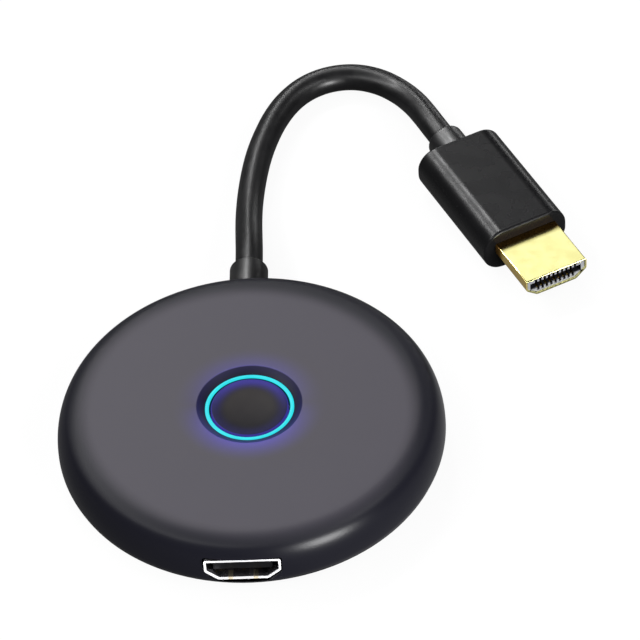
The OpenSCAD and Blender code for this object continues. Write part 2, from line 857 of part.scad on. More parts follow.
film_at = [film_shares.x * board_r, film_shares.y * board_r];
mini_plug_at = [
    radio_at.x - radio_l / 2 + 2 * mini_plug_inset,
    radio_at.y - radio_w / 2 + mini_plug_inset
];

module antenna_film() {
    color([0.15, 0.12, 0.05]) translate([film_at.x, film_at.y, ceiling_z - film_size.z]) block(film_size);
}

module antenna_connector() {
    color("gold") translate([mini_plug_at.x, mini_plug_at.y, deck_z + radio_t]) {
        block([mini_plug_d, mini_plug_d, mini_plug_h / 3]);
        cylinder(d = mini_plug_d, h = mini_plug_h);
    }
}

module antenna_lead() {
    low_z = deck_z + radio_t + mini_plug_h / 2;
    high_z = ceiling_z - film_size.z - lead_drop - slip;
    start = [mini_plug_at.x, mini_plug_at.y - mini_plug_d / 2 - slip, low_z];
    turn = [start.x, start.y - lead_run, low_z];
    foot = [film_at.x, film_at.y - film_size.y / 2 + lead_run, high_z];
    rise = bend(turn, [foot.x, turn.y + lead_run / 4, high_z], [0, 1, 0]);
    color([0.2, 0.2, 0.2]) wire(concat([start], rise, [foot]), lead_d, wire_sides);
}

// Video socket

module socket_shell() {
    color("silver") {
        on_line() translate([0, 0, socket_z]) difference() {
            union() {
                along_y(socket_y, socket_l) polygon(video_outline(socket_out_w, socket_out_h));
                // flared edge of the mouth
                along_y(socket_y, flare_l)
                    polygon(video_outline(socket_out_w + 2 * flare, socket_out_h + 2 * flare));
            }
            along_y(socket_y - cut, socket_l + 2 * cut) polygon(video_outline(socket_w, socket_h));
        }
        // leaf springs that press on the plug
        on_line() for (s = [-1, 1], side = [-1, 1])
            translate([s * spring_x - spring_w / 2, socket_y + spring_inset, socket_z + side * socket_h / 2])
                rotate([-side * spring_tilt, 0, 0])
                    translate([0, 0, -spring_t / 2]) cube([spring_w, spring_l, spring_t]);
        at_anchors() translate([0, 0, board_t + board_t / 3])
            block([sheet, anchor_w, deck_z - board_z + socket_out_h / 2 - board_t / 3]);
    }
}

module socket_tongue() {
    color([0.07, 0.07, 0.08]) on_line() translate([0, 0, socket_z]) {
        along_y(socket_y + socket_l - tongue_back, tongue_back)
            polygon(video_outline(socket_w - 2 * slip, socket_h - 2 * slip));
        translate([-tongue_w / 2, socket_y + tongue_inset, -tongue_t / 2])
            cube([tongue_w, socket_l - tongue_inset - tongue_back / 2, tongue_t]);
    }
}

module socket_contacts() {
    color("gold") on_line() {
        for (row = [0, 1], i = [0:pin_rows[row] - 1])
            translate([
                pin_pitch * (i - (pin_rows[row] - 1) / 2) - pin_w / 2,
                socket_y + 2 * tongue_inset,
                row == 0 ? socket_z + tongue_t / 2 : socket_z - tongue_t / 2 - pin_t
            ]) cube([pin_w, socket_l - tongue_back - 2 * tongue_inset, pin_t]);
        // tails soldered to the board, in one row behind the socket
        last = pin_rows[0] + pin_rows[1] - 1;
        for (i = [0:last])
            translate([pin_pitch / 2 * (i - last / 2) - pin_w / 4, socket_y + socket_l, deck_z])
                cube([pin_w / 2, tail_l, tail_t]);
    }
}

// Power inlet

module inlet_shell() {
    color("silver") round_inlet() translate([0, 0, inlet_z]) difference() {
        along_y(inlet_y - inlet_l, inlet_l) slot_outline(inlet_out_w, inlet_out_h);
        along_y(inlet_y - inlet_l - cut, inlet_l + 2 * cut) slot_outline(inlet_w, inlet_h);
    }
}

module inlet_tongue() {
    color([0.07, 0.07, 0.08]) round_inlet() translate([0, 0, inlet_z]) {
        along_y(inlet_y - inlet_l, blade_back) slot_outline(inlet_w - 2 * slip, inlet_h - 2 * slip);
        translate([-blade_w / 2, inlet_y - inlet_l + blade_back / 2, -blade_t / 2])
            cube([blade_w, inlet_l - blade_back / 2 - blade_inset, blade_t]);
    }
}

// Cable inside the case

module cable_gland() {
    collar_y = flange_y + flange_t / 2;
    color([0.1, 0.1, 0.11]) difference() {
        union() {
            gland_flange(0);
            on_line() rod_y(collar_r, collar_y, gland_end_y - collar_bevel - collar_y, cable_z);
            on_line() translate([0, gland_end_y - collar_bevel, cable_z]) rotate([-90, 0, 0])
                cylinder(r1 = collar_r, r2 = collar_r - collar_bevel, h = collar_bevel);
        }
        on_line() rod_y(cable_r + slip, flange_y - cut, gland_end_y - flange_y + 2 * cut, cable_z);
    }
}

module cable_end() {
    color([0.07, 0.07, 0.07]) on_line() rod_y(cable_r, cable_end_y, gland_end_y - cable_end_y, cable_z);
}

module cable_clamp() {
    color([0.2, 0.2, 0.21]) on_line() difference() {
        union() {
            translate([-clamp_w / 2, clamp_y, cable_z]) cube([clamp_w, clamp_l, clamp_t]);
            intersection() {
                rod_y(cable_r + clamp_arch, clamp_y, clamp_l, cable_z);
                translate([-clamp_w / 2, clamp_y, cable_z]) cube([clamp_w, clamp_l, body_h]);
            }
        }
        rod_y(cable_r + slip, clamp_y - cut, clamp_l + 2 * cut, cable_z);
        for (s = [-1, 1])
            translate([s * clamp_screw_x, clamp_y + clamp_l / 2, cable_z - cut])
                cylinder(d = clamp_screw_d + 2 * slip, h = clamp_t + 2 * cut);
    }
}

module clamp_screws() {
    color("silver") on_line() for (s = [-1, 1])
        translate([s * clamp_screw_x, clamp_y + clamp_l / 2, cable_z + clamp_t]) rotate([180, 0, 0])
            screw(clamp_screw_d, clamp_screw_l, clamp_head_d, clamp_head_t);
}

module cable_wires() {
    color([0.7, 0.15, 0.12]) on_line() for (i = [0:wire_columns - 1], j = [0:wire_rows - 1]) {
        column = i - (wire_columns - 1) / 2;
        row = j - (wire_rows - 1) / 2;
        start = [wire_pitch * column, cable_end_y - slip, cable_z + wire_pitch * row];
        end_z = deck_z + header_size.z / 2 + header_row_pitch * row;
        end = [header_pitch * column, header_y + header_size.y + slip, end_z];
        wire(bend(start, end, [0, 1, 0]), wire_d, wire_sides);
    }
}

module wire_header() {
    color([0.9, 0.89, 0.84]) on_line() on_deck([0, header_y + header_size.y / 2]) block(header_size);
}

// Free cable

module cord() {
    color([0.07, 0.07, 0.07]) wire(route, cable_d, cord_sides);
}

// Plug

module plug_collar() {
    color([0.1, 0.1, 0.11]) on_plug() difference() {
        union() {
            translate([collar_bevel, 0, 0]) rotate([0, -90, 0])
                cylinder(r1 = collar_r, r2 = collar_r - collar_bevel, h = collar_bevel);
            rod_x(collar_r, collar_bevel, plug_collar_l - collar_bevel);
            rod_x(collar_stub_d / 2, plug_collar_l - slip, collar_stub_l);
        }
        rod_x(cable_r + slip, -cut, plug_collar_l + collar_stub_l + 2 * cut);
    }
}

module plug_cable_end() {
    color([0.07, 0.07, 0.07]) on_plug() rod_x(cable_r, 0, plug_cable_l);
}

module plug_wires() {
    color([0.7, 0.15, 0.12]) on_plug() for (i = [0:wire_columns - 1], j = [0:wire_rows - 1]) {
        column = i - (wire_columns - 1) / 2;
        row = j - (wire_rows - 1) / 2;
        wire(bend(
            [plug_cable_l + slip, wire_pitch * column, wire_pitch * row],
            [insulator_x - slip, plug_wire_pitch * column, plug_row_pitch * row],
            [1, 0, 0]
        ), wire_d, wire_sides);
    }
}

module plug_ferrule() {
    color("silver") on_plug() {
        difference() {
            translate([ferrule_x, -ferrule_w / 2, -ferrule_h / 2])
                cube([insulator_x - slip - ferrule_x, ferrule_w, ferrule_h]);
            translate([ferrule_x - cut, sheet - ferrule_w / 2, sheet - ferrule_h / 2])
                cube([insulator_x - ferrule_x + 2 * cut, ferrule_w - 2 * sheet, ferrule_h - 2 * sheet]);
        }
        difference() {
            union() {
                rod_x(crimp_r, plug_cable_l - crimp_l, crimp_l);
                // strap that joins the crimp to the box
                intersection() {
                    rod_x(crimp_r, plug_cable_l - crimp_l, strap_l);
                    translate([plug_cable_l - crimp_l, -crimp_l / 2, -crimp_r])
                        cube([strap_l, crimp_l, crimp_r - cable_r]);
                }
            }
            rod_x(cable_r + slip, plug_cable_l - crimp_l - cut, crimp_l + 2 * cut);
        }
    }
}

module grip_lump() {
    steps = [for (i = [0:grip_steps]) 90 * i / grip_steps];
    tail_end = [for (a = steps) [grip_x + grip_edge * (1 - sin(a)), grip_edge * (1 - cos(a))]];
    tip_end = [for (a = steps) [grip_end_x - grip_edge * (1 - sin(a)), grip_edge * (1 - cos(a))]];
    // each station is a place along the plug and how far the outline is drawn in there
    stations = concat([for (i = [grip_steps:-1:0]) tail_end[i]], [for (i = [0:grip_steps]) tip_end[i]]);
    skin([
        for (s = stations)
            let (outline = rounded_outline(grip_w - 2 * s.y, grip_h - 2 * s.y, grip_r - s.y))
            set_square(outline, [s.x, 0, 0], [1, 0, 0])
    ]);
}

module plug_grip() {
    room_x = plug_cable_l - crimp_l - room_wall;
    color([0.1, 0.1, 0.11]) on_plug() difference() {
        grip_lump();
        rod_x(collar_stub_d / 2 + slip, grip_x - cut, collar_stub_l + cut);
        rod_x(cable_r + slip, grip_x - cut, room_x - grip_x + 2 * cut);
        rod_x(crimp_r + slip, room_x, ferrule_x - room_x + cut);
        translate([ferrule_x - slip, -ferrule_w / 2 - slip, -ferrule_h / 2 - slip])
            cube([insulator_x - ferrule_x + slip, ferrule_w + 2 * slip, ferrule_h + 2 * slip]);
        along_x(insulator_x - slip, grip_end_x - insulator_x + cut)
            polygon(video_outline(plug_w + 2 * slip, plug_h + 2 * slip));
    }
}

module plug_shell() {
    color("gold") on_plug() difference() {
        along_x(shell_x, tip_x - shell_x) polygon(video_outline(plug_w, plug_h));
        along_x(shell_x - cut, tip_x - shell_x + 2 * cut)
            polygon(video_outline(plug_w - 2 * sheet, plug_h - 2 * sheet));
    }
}

// Places of the plug's contacts: the wide row above, the narrow row below
module at_contacts()
    for (row = [0, 1], i = [0:pin_rows[row] - 1]) {
        side = row == 0 ? 1 : -1;
        translate([0, pin_pitch * (i - (pin_rows[row] - 1) / 2), side * (slot_h + groove_h) / 2])
            children();
    }

module plug_insulator() {
    face_x = tip_x - insulator_inset;
    color([0.75, 0.76, 0.78]) on_plug() difference() {
        union() {
            along_x(shell_x, face_x - shell_x)
                polygon(video_outline(plug_w - 2 * sheet - 2 * slip, plug_h - 2 * sheet - 2 * slip));
            along_x(insulator_x, insulator_back + slip)
                polygon(video_outline(plug_w - 2 * sheet - 2 * slip, plug_h - 2 * sheet - 2 * slip));
        }
        translate([face_x - slot_l, -slot_w / 2, -slot_h / 2]) cube([slot_l + cut, slot_w, slot_h]);
        at_contacts() translate([face_x - slot_l, -groove_w / 2, -groove_h / 2 - slip])
            cube([slot_l + cut, groove_w, groove_h + 2 * slip]);
    }
}

module plug_contacts() {
    face_x = tip_x - insulator_inset;
    color("gold") on_plug() at_contacts()
        translate([face_x - slot_l, -pin_w / 2, -contact_h / 2])
            cube([slot_l - contact_inset, pin_w, contact_h]);
}

top_shell();
bottom_shell();
rubber_feet();
case_screws();
button_cap();
light_ring();
light_baffle();
ring_leds();
switch_body();
switch_terminals();
switch_dome();
switch_plunger();
main_board();
processor();
thermal_pad();
heat_sink();
memory_chips();
flash_chip();
video_chip();
radio_board();
radio_shield();
crystals();
power_coils();
capacitors();
chip_resistors();
antenna_film();
antenna_lead();
antenna_connector();
socket_shell();
socket_tongue();
socket_contacts();
inlet_shell();
inlet_tongue();
cable_gland();
cable_end();
cable_clamp();
clamp_screws();
cable_wires();
wire_header();
cord();
plug_collar();
plug_cable_end();
plug_wires();
plug_ferrule();
plug_grip();
plug_shell();
plug_insulator();
plug_contacts();
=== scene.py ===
"""Looks for a wireless display adapter.

A round black puck with a lit button, and a short cable with a gilt video plug.
"""

import math

import bmesh
import bpy
from mathutils import Matrix, Vector


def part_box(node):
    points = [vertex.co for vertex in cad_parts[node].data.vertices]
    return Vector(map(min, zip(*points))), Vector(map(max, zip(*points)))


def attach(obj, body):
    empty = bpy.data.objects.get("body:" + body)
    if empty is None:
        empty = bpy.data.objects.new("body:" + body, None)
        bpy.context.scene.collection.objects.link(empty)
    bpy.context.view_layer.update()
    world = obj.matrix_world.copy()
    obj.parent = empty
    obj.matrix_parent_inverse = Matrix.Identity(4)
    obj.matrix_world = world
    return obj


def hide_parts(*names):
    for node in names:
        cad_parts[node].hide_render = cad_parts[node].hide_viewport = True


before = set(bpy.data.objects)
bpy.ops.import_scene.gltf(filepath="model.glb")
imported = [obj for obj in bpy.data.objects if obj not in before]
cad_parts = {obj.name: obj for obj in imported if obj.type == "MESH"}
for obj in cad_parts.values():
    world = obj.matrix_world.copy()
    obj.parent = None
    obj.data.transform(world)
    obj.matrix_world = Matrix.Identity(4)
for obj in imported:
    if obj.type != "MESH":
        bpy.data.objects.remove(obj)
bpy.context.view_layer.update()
MM = 0.001
CLOSE = 0.001  # places that are nearer than this, in millimetres, count as the same
POLE_R = 0.0001  # stands for a radius of 0 until the pole is merged
NOISE_LOW, NOISE_HIGH = 0.3, 0.7  # the range that a noise texture mostly fills

# Sizes that the pieces share, in millimetres, as in the part's source

# the case
BODY_R, BODY_H, FLAT_R, BASE_R = 38.0, 12.3, 32.7, 33.5
EQUATOR_H, EDGE_SQUARE, SEAM_Z, SEAM_W = 4.6, 2.2, 2.7, 0.3
STAND_H, DECK_Z, CEILING_Z, INNER_R = 0.5, 3.4, 10.8, 36.5
DISH_R, DISH_Z, DISH_EDGE = 10.3, 11.4, 0.14
HOLE_R, HUB_R, HUB_Z = 8.75, 11.8, 10.05
CHAMFER, CHAMFER_TOP, CHAMFER_FOOT = 0.12, 0.04, 0.06
FLAT_RINGS = (28, 20, 14)
BOSS_R, BOSS_AT, BOSS_TURNS, BOSS_IN_ROOF = 2.5, 29.4, (30, 150, 210, 330), 0.75
SCREW_R, SCREW_L, SCREW_START = 1.05, 6.5, 0.6
OPENING_GAP, GLAND_GAP = 0.25, 0.05

# the button and the ring
RING_R, RING_IN_R, RING_CROWN, RING_FLANGE_R = 8.7, 7.95, 0.12, 10.2
CAP_R, CAP_EDGE, CAP_WALL, CAP_ROOF = 7.6, 0.3, 0.6, 1.2
HOLLOW_R, HOLLOW_DEPTH, HOLLOW_RINGS = CAP_R - 0.55, 0.3, (6.4, 5.4, 4.2, 3.0, 1.6, 0.6)
STEM_R, STEM_ROOF = 1.6, 0.9
TAB_Z, TAB_W, TAB_H, TAB_IN, TAB_OUT = 7.85, 3.0, 0.8, 0.5, 1.1

# the connectors: the step and corners of their outline are shares of its height, and its foot of its width
OUTLINE_STEP, OUTLINE_FOOT, OUTLINE_CORNER = 0.56, 0.65, 0.06
LINE_X = -1.1
SHEET = 0.3
SOCKET_W, SOCKET_H, SOCKET_L, SOCKET_Y, SOCKET_Z = 14.6, 5.15, 11.5, -37.2, 5.975
LEAF_X, LEAF_Z, LEAF_W, LEAF_L, LEAF_T, LEAF_TILT = 2.4, 2.275, 1.2, 5.0, 0.2, 5.0
INLET_W, INLET_H, INLET_Z, INLET_TURN = 8.94, 3.16, 4.98, 33.0

# the cable, its gland and the plug; along the plug, X is counted from the end of the cable
CABLE_R, CABLE_Z, CABLE_HOLE_R = 2.8, 6.0, 2.83
COLLAR_R, COLLAR_EDGE, GLAND_Y, GLAND_L, GLAND_ROUND = 3.9, 0.5, 34.8, 8.1, 0.45
FLANGE_HALF_W, FLANGE_HALF_H, FLANGE_Y, FLANGE_END_Y = 5.5, 4.1, 33.6, 35.1
STUB_R, STUB_L, CRIMP_R, CRIMP_X, ROOM_L, ROOM_GAP = 3.5, 2.5, 3.2, 10.2, 6.0, 0.05
GRIP_X, GRIP_END_X, SHELL_X, TIP_X = 5.8, 34.8, 28.8, 47.6
GRIP_HALF_W, GRIP_HALF_H, GRIP_SIDE_R, GRIP_END_R = 9.5, 5.0, 4.4, 0.5
FERRULE_LOW, FERRULE_HIGH = (15.25, -6.65, -3.35), (27.8, 6.65, 3.35)
PLUG_W, PLUG_H, PLUG_TURN = 13.9, 4.45, -62.7

CABLE_ROUTE = [
    (-1.1, 43.4, 6), (-1.1, 48, 6), (-1.3, 53.5, 5.3), (-1.5, 59, 4.2), (-1.5, 64.5, 3.3),
    (-1.2, 70, 2.9), (-0.6, 75.5, 2.9), (0.3, 81, 2.9), (1.7, 86.4, 2.9), (3.5, 91.7, 2.9),
    (6.1, 96.8, 2.9), (9.8, 101.1, 2.9), (14.7, 103.8, 2.9), (20.4, 104.4, 2.9), (25.8, 102.5, 2.9),
    (30.1, 98.9, 3), (33.2, 94.3, 3.7), (35.4, 89.35, 4.6), (37.5, 84.63, 5), (39.28, 81.18, 5),
]
PLUG_AT = CABLE_ROUTE[-1]


# Camera -------------------------------------------------------------------------------------------------------


def make_camera():
    """The photograph's camera: a long lens, 45 degrees above the table."""
    distance, azimuth, elevation, roll = 809.503, -3.1078, 45.3117, -4.1511
    aim = Vector((13.049, 34.325, 0.0))
    turn = Matrix.Rotation(math.radians(-azimuth), 4, "Z") @ Matrix.Rotation(math.radians(90 - elevation), 4, "X")
    back = turn.to_3x3() @ Vector((0, 0, 1))
    data = bpy.data.cameras.new("camera")
    data.lens, data.sensor_width = 225.0, 36.0
    data.clip_start, data.clip_end = 0.01, 20.0
    camera = bpy.data.objects.new("camera", data)
    bpy.context.scene.collection.objects.link(camera)
    camera.matrix_world = (
        Matrix.Translation((aim + back * distance) * MM) @ turn @ Matrix.Rotation(math.radians(roll), 4, "Z")
    )
    bpy.context.scene.camera = camera


make_camera()


# Ways of working ----------------------------------------------------------------------------------------------


def deselect():
    if bpy.context.mode != "OBJECT":
        bpy.ops.object.mode_set(mode="OBJECT")
    bpy.ops.object.select_all(action="DESELECT")


def only(piece):
    """Makes one piece the selected and active one."""
    deselect()
    piece.select_set(True)
    bpy.context.view_layer.objects.active = piece


def pick(kind, test):
    """In edit mode, selects the active mesh's vertices, edges or faces that pass a test.

    The test is given places in millimetres: a vertex's, an edge's two, or a face's middle with its normal.
    """
    mesh = bpy.context.object.data
    bpy.ops.mesh.select_mode(type={"verts": "VERT", "edges": "EDGE", "faces": "FACE"}[kind])
    bpy.ops.mesh.select_all(action="DESELECT")
    shape = bmesh.from_edit_mesh(mesh)
    for part in getattr(shape, kind):
        if kind == "verts":
            part.select = bool(test(part.co / MM))
        elif kind == "edges":
            part.select = bool(test([v.co / MM for v in part.verts]))
        else:
            part.select = bool(test(part.calc_center_median() / MM, part.normal))
    shape.select_flush_mode()
    bmesh.update_edit_mesh(mesh)


def settle(piece, angle=35):
    """Puts a finished piece's place in its mesh, turns its faces outwards and smooths it."""
    only(piece)
    bpy.ops.object.transform_apply(location=True, rotation=True, scale=True)
    bpy.ops.object.mode_set(mode="EDIT")
    bpy.ops.mesh.select_all(action="SELECT")
    bpy.ops.mesh.remove_doubles(threshold=1e-7)
    bpy.ops.mesh.normals_make_consistent(inside=False)
    bpy.ops.object.mode_set(mode="OBJECT")
    bpy.ops.object.shade_smooth_by_angle(angle=math.radians(angle))
    return piece


def apply_modifier(piece, kind, **settings):
    only(piece)
    modifier = piece.modifiers.new(kind.lower(), kind)
    for name, value in settings.items():
        setattr(modifier, name, value)
    bpy.ops.object.modifier_apply(modifier=modifier.name)


def soften(piece, width, angle=40):
    """Rounds a piece's sharp edges a little."""
    apply_modifier(
        piece, "BEVEL", width=width * MM, segments=2, limit_method="ANGLE", angle_limit=math.radians(angle),
        harden_normals=False, miter_outer="MITER_ARC",
    )


def even_shading(piece):
    """Keeps the flat faces of a rounded piece flat in their shading."""
    apply_modifier(piece, "WEIGHTED_NORMAL", keep_sharp=True)


def unite(piece, other):
    """Adds another piece's shape to a piece and takes the other away."""
    apply_modifier(piece, "BOOLEAN", operation="UNION", solver="EXACT", object=other)
    bpy.data.objects.remove(other)


def cut_away(piece, *cutters):
    """Cuts the cutters' shapes out of a piece and takes the cutters away."""
    for cutter in cutters:
        settle(cutter)
        apply_modifier(piece, "BOOLEAN", operation="DIFFERENCE", solver="EXACT", object=cutter)
        bpy.data.objects.remove(cutter)


def join(name, pieces):
    only(pieces[0])
    for piece in pieces[1:]:
        piece.select_set(True)
    bpy.ops.object.join()
    pieces[0].name = name
    return pieces[0]


def turned(name, profile, sides, closed=False):
    """A lathe-turned piece round Z.

    A ring is drawn at the first point of its (r, z) profile and pulled from point to point. A closed profile ends
    where it starts, and any other gets a face or a pole at each end.
    """
    deselect()
    r, z = first_r, first_z = profile[0]
    bpy.ops.mesh.primitive_circle_add(vertices=sides, radius=r * MM, location=(0, 0, z * MM), fill_type="NOTHING")
    piece = bpy.context.object
    piece.name = name
    bpy.ops.object.transform_apply(location=True)
    bpy.ops.object.mode_set(mode="EDIT")
    bpy.ops.mesh.select_mode(type="VERT")
    bpy.ops.mesh.select_all(action="SELECT")
    for next_r, next_z in profile[1:]:
        bpy.ops.mesh.extrude_region_move(TRANSFORM_OT_translate={"value": (0, 0, (next_z - z) * MM)})
        next_r = max(next_r, POLE_R)
        if next_r != r:
            bpy.ops.transform.resize(value=(next_r / r, next_r / r, 1), center_override=(0, 0, next_z * MM))
        r, z = next_r, next_z
    if closed:
        bpy.ops.mesh.select_all(action="DESELECT")
        bpy.ops.mesh.select_mode(type="EDGE")
        bpy.ops.mesh.select_non_manifold()
        bpy.ops.mesh.bridge_edge_loops()
        return settle(piece)
    if r == POLE_R:
        bpy.ops.mesh.merge(type="CENTER")
    else:
        bpy.ops.mesh.edge_face_add()
    pick(
        "edges",
        lambda ends: all(abs(p.z - first_z) < CLOSE and abs(p.xy.length - first_r) < CLOSE for p in ends),
    )
    bpy.ops.mesh.edge_face_add()
    return settle(piece)


def block(name, low, high):
    """A rectangular block between two corners."""
    deselect()
    low, high = Vector(low), Vector(high)
    bpy.ops.mesh.primitive_cube_add(size=1, location=(low + high) / 2 * MM)
    piece = bpy.context.object
    piece.name = name
    piece.scale = (high - low) * MM
    bpy.ops.object.transform_apply(location=True, rotation=True, scale=True)
    return piece


def placed(piece, matrix):
    """Moves a piece, with its place kept in its mesh."""
    only(piece)
    piece.matrix_world = matrix
    bpy.ops.object.transform_apply(location=True, rotation=True, scale=True)
    return piece


def shift(x, y, z):
    """A move in millimetres."""
    return Matrix.Translation(Vector((x, y, z)) * MM)


def spin(degrees, axis):
    return Matrix.Rotation(math.radians(degrees), 4, axis)


def plug_frame():
    return shift(*PLUG_AT) @ spin(PLUG_TURN, "Z")


def lathe_to_plug(x):
    """Turns a piece made round Z so that it lies along the plug, from a distance along it."""
    return plug_frame() @ shift(x, 0, 0) @ spin(90, "Y")


def lathe_to_y(x, y, z):
    """Turns a piece made round Z so that it lies along Y, with its foot at a place."""
    return shift(x, y, z) @ spin(-90, "X")


def bar_to_x(x):
    """Turns a bar made along Y so that it lies along X, from a distance along it."""
    return shift(x, 0, 0) @ spin(-90, "Z")


def heights(node):
    """A CAD node's lowest and highest points, in millimetres."""
    low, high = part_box(node)
    return low.z / MM, high.z / MM


def arc(cx, cy, rx, ry, start, end, steps):
    """Points of an ellipse's arc between two angles in degrees."""
    turns = [math.radians(start + (end - start) * i / steps) for i in range(steps + 1)]
    return [(cx + rx * math.cos(a), cy + ry * math.sin(a)) for a in turns]


def edge_arc(cx, cy, rx, ry, steps):
    """Points of a quarter of a rounded square edge, from its side to its top."""
    turns = [math.pi / 2 * i / steps for i in range(steps + 1)]
    power = 2 / EDGE_SQUARE
    return [(cx + rx * max(math.cos(a), 0) ** power, cy + ry * math.sin(a) ** power) for a in turns]


def connector_bar(name, width, height, start, length, bend=0.0):
    """A bar along Y with the video connector's outline: wide above, narrower below, centred on height 0."""
    w, h = width / 2, height / 2
    step_z = -height * (OUTLINE_STEP - 0.5)
    bar = block(name, (-w, start, -h), (w, start + length, h))
    bpy.ops.object.mode_set(mode="EDIT")
    bpy.ops.mesh.select_all(action="SELECT")
    bpy.ops.mesh.bisect(plane_co=(0, 0, step_z * MM), plane_no=(0, 0, 1))
    pick("verts", lambda p: p.z < -h + CLOSE)
    bpy.ops.transform.resize(value=(OUTLINE_FOOT, 1, 1), center_override=(0, 0, 0))
    pick("edges", lambda ends: all(p.z > h - CLOSE and abs(p.x) > w - CLOSE for p in ends))
    bpy.ops.mesh.bevel(offset=max(height * OUTLINE_CORNER, bend) * MM, segments=3 if bend else 1)
    if bend:
        pick(
            "edges",
            lambda ends: all(p.z < h - CLOSE for p in ends)
            and abs(ends[0].x - ends[1].x) < CLOSE
            and abs(ends[0].y - ends[1].y) > CLOSE
            and (ends[0].z < -h + CLOSE or abs(ends[0].z - step_z) < CLOSE),
        )
        bpy.ops.mesh.bevel(offset=bend * MM, segments=3)
    bpy.ops.object.mode_set(mode="OBJECT")
    return bar


def connector_skin(name, width, height, start, length, bend):
    """The connector's outline as a skin that is open at both ends."""
    skin = connector_bar(name, width, height, start, length, bend)
    bpy.ops.object.mode_set(mode="EDIT")
    pick("faces", lambda middle, normal: abs(normal.y) > 0.9)
    bpy.ops.mesh.delete(type="FACE")
    bpy.ops.object.mode_set(mode="OBJECT")
    return settle(skin)


def dressed_copy(name, node):
    """A copy of a CAD node with its triangles joined into faces, for a piece that keeps the CAD's shape."""
    piece = bpy.data.objects.new(name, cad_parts[node].data.copy())
    bpy.context.scene.collection.objects.link(piece)
    only(piece)
    bpy.ops.object.mode_set(mode="EDIT")
    bpy.ops.mesh.select_all(action="SELECT")
    bpy.ops.mesh.remove_doubles(threshold=2e-6)
    bpy.ops.mesh.dissolve_limited(angle_limit=math.radians(1.0))
    bpy.ops.object.mode_set(mode="OBJECT")
    bpy.ops.object.shade_smooth_by_angle(angle=math.radians(35))
    return piece


def dress(piece, finish):
    """Gives a piece one material."""
    piece.data.materials.clear()
    piece.data.materials.append(MATERIALS[finish])


def fit_out(piece, body, finish, *nodes):
    """Gives a piece its body and its finish, and lets it stand for its CAD nodes."""
    dress(piece, finish)
    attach(piece, body)
    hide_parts(*nodes)
    return piece


# Materials ----------------------------------------------------------------------------------------------------


def colour(red, green, blue):
    """A colour as the photograph shows it, on the 0 to 255 scale, for a shader."""
    return tuple(
        v / 255 / 12.92 if v / 255 <= 0.04045 else ((v / 255 + 0.055) / 1.055) ** 2.4 for v in (red, green, blue)
    ) + (1.0,)


def tones(tint, shift_by):
    """A little darker and a little lighter than a colour, for the two ends of a ramp."""
    return [tuple(min(1.0, v * share) for v in tint[:3]) + (1.0,) for share in (1 - shift_by, 1 + shift_by)]


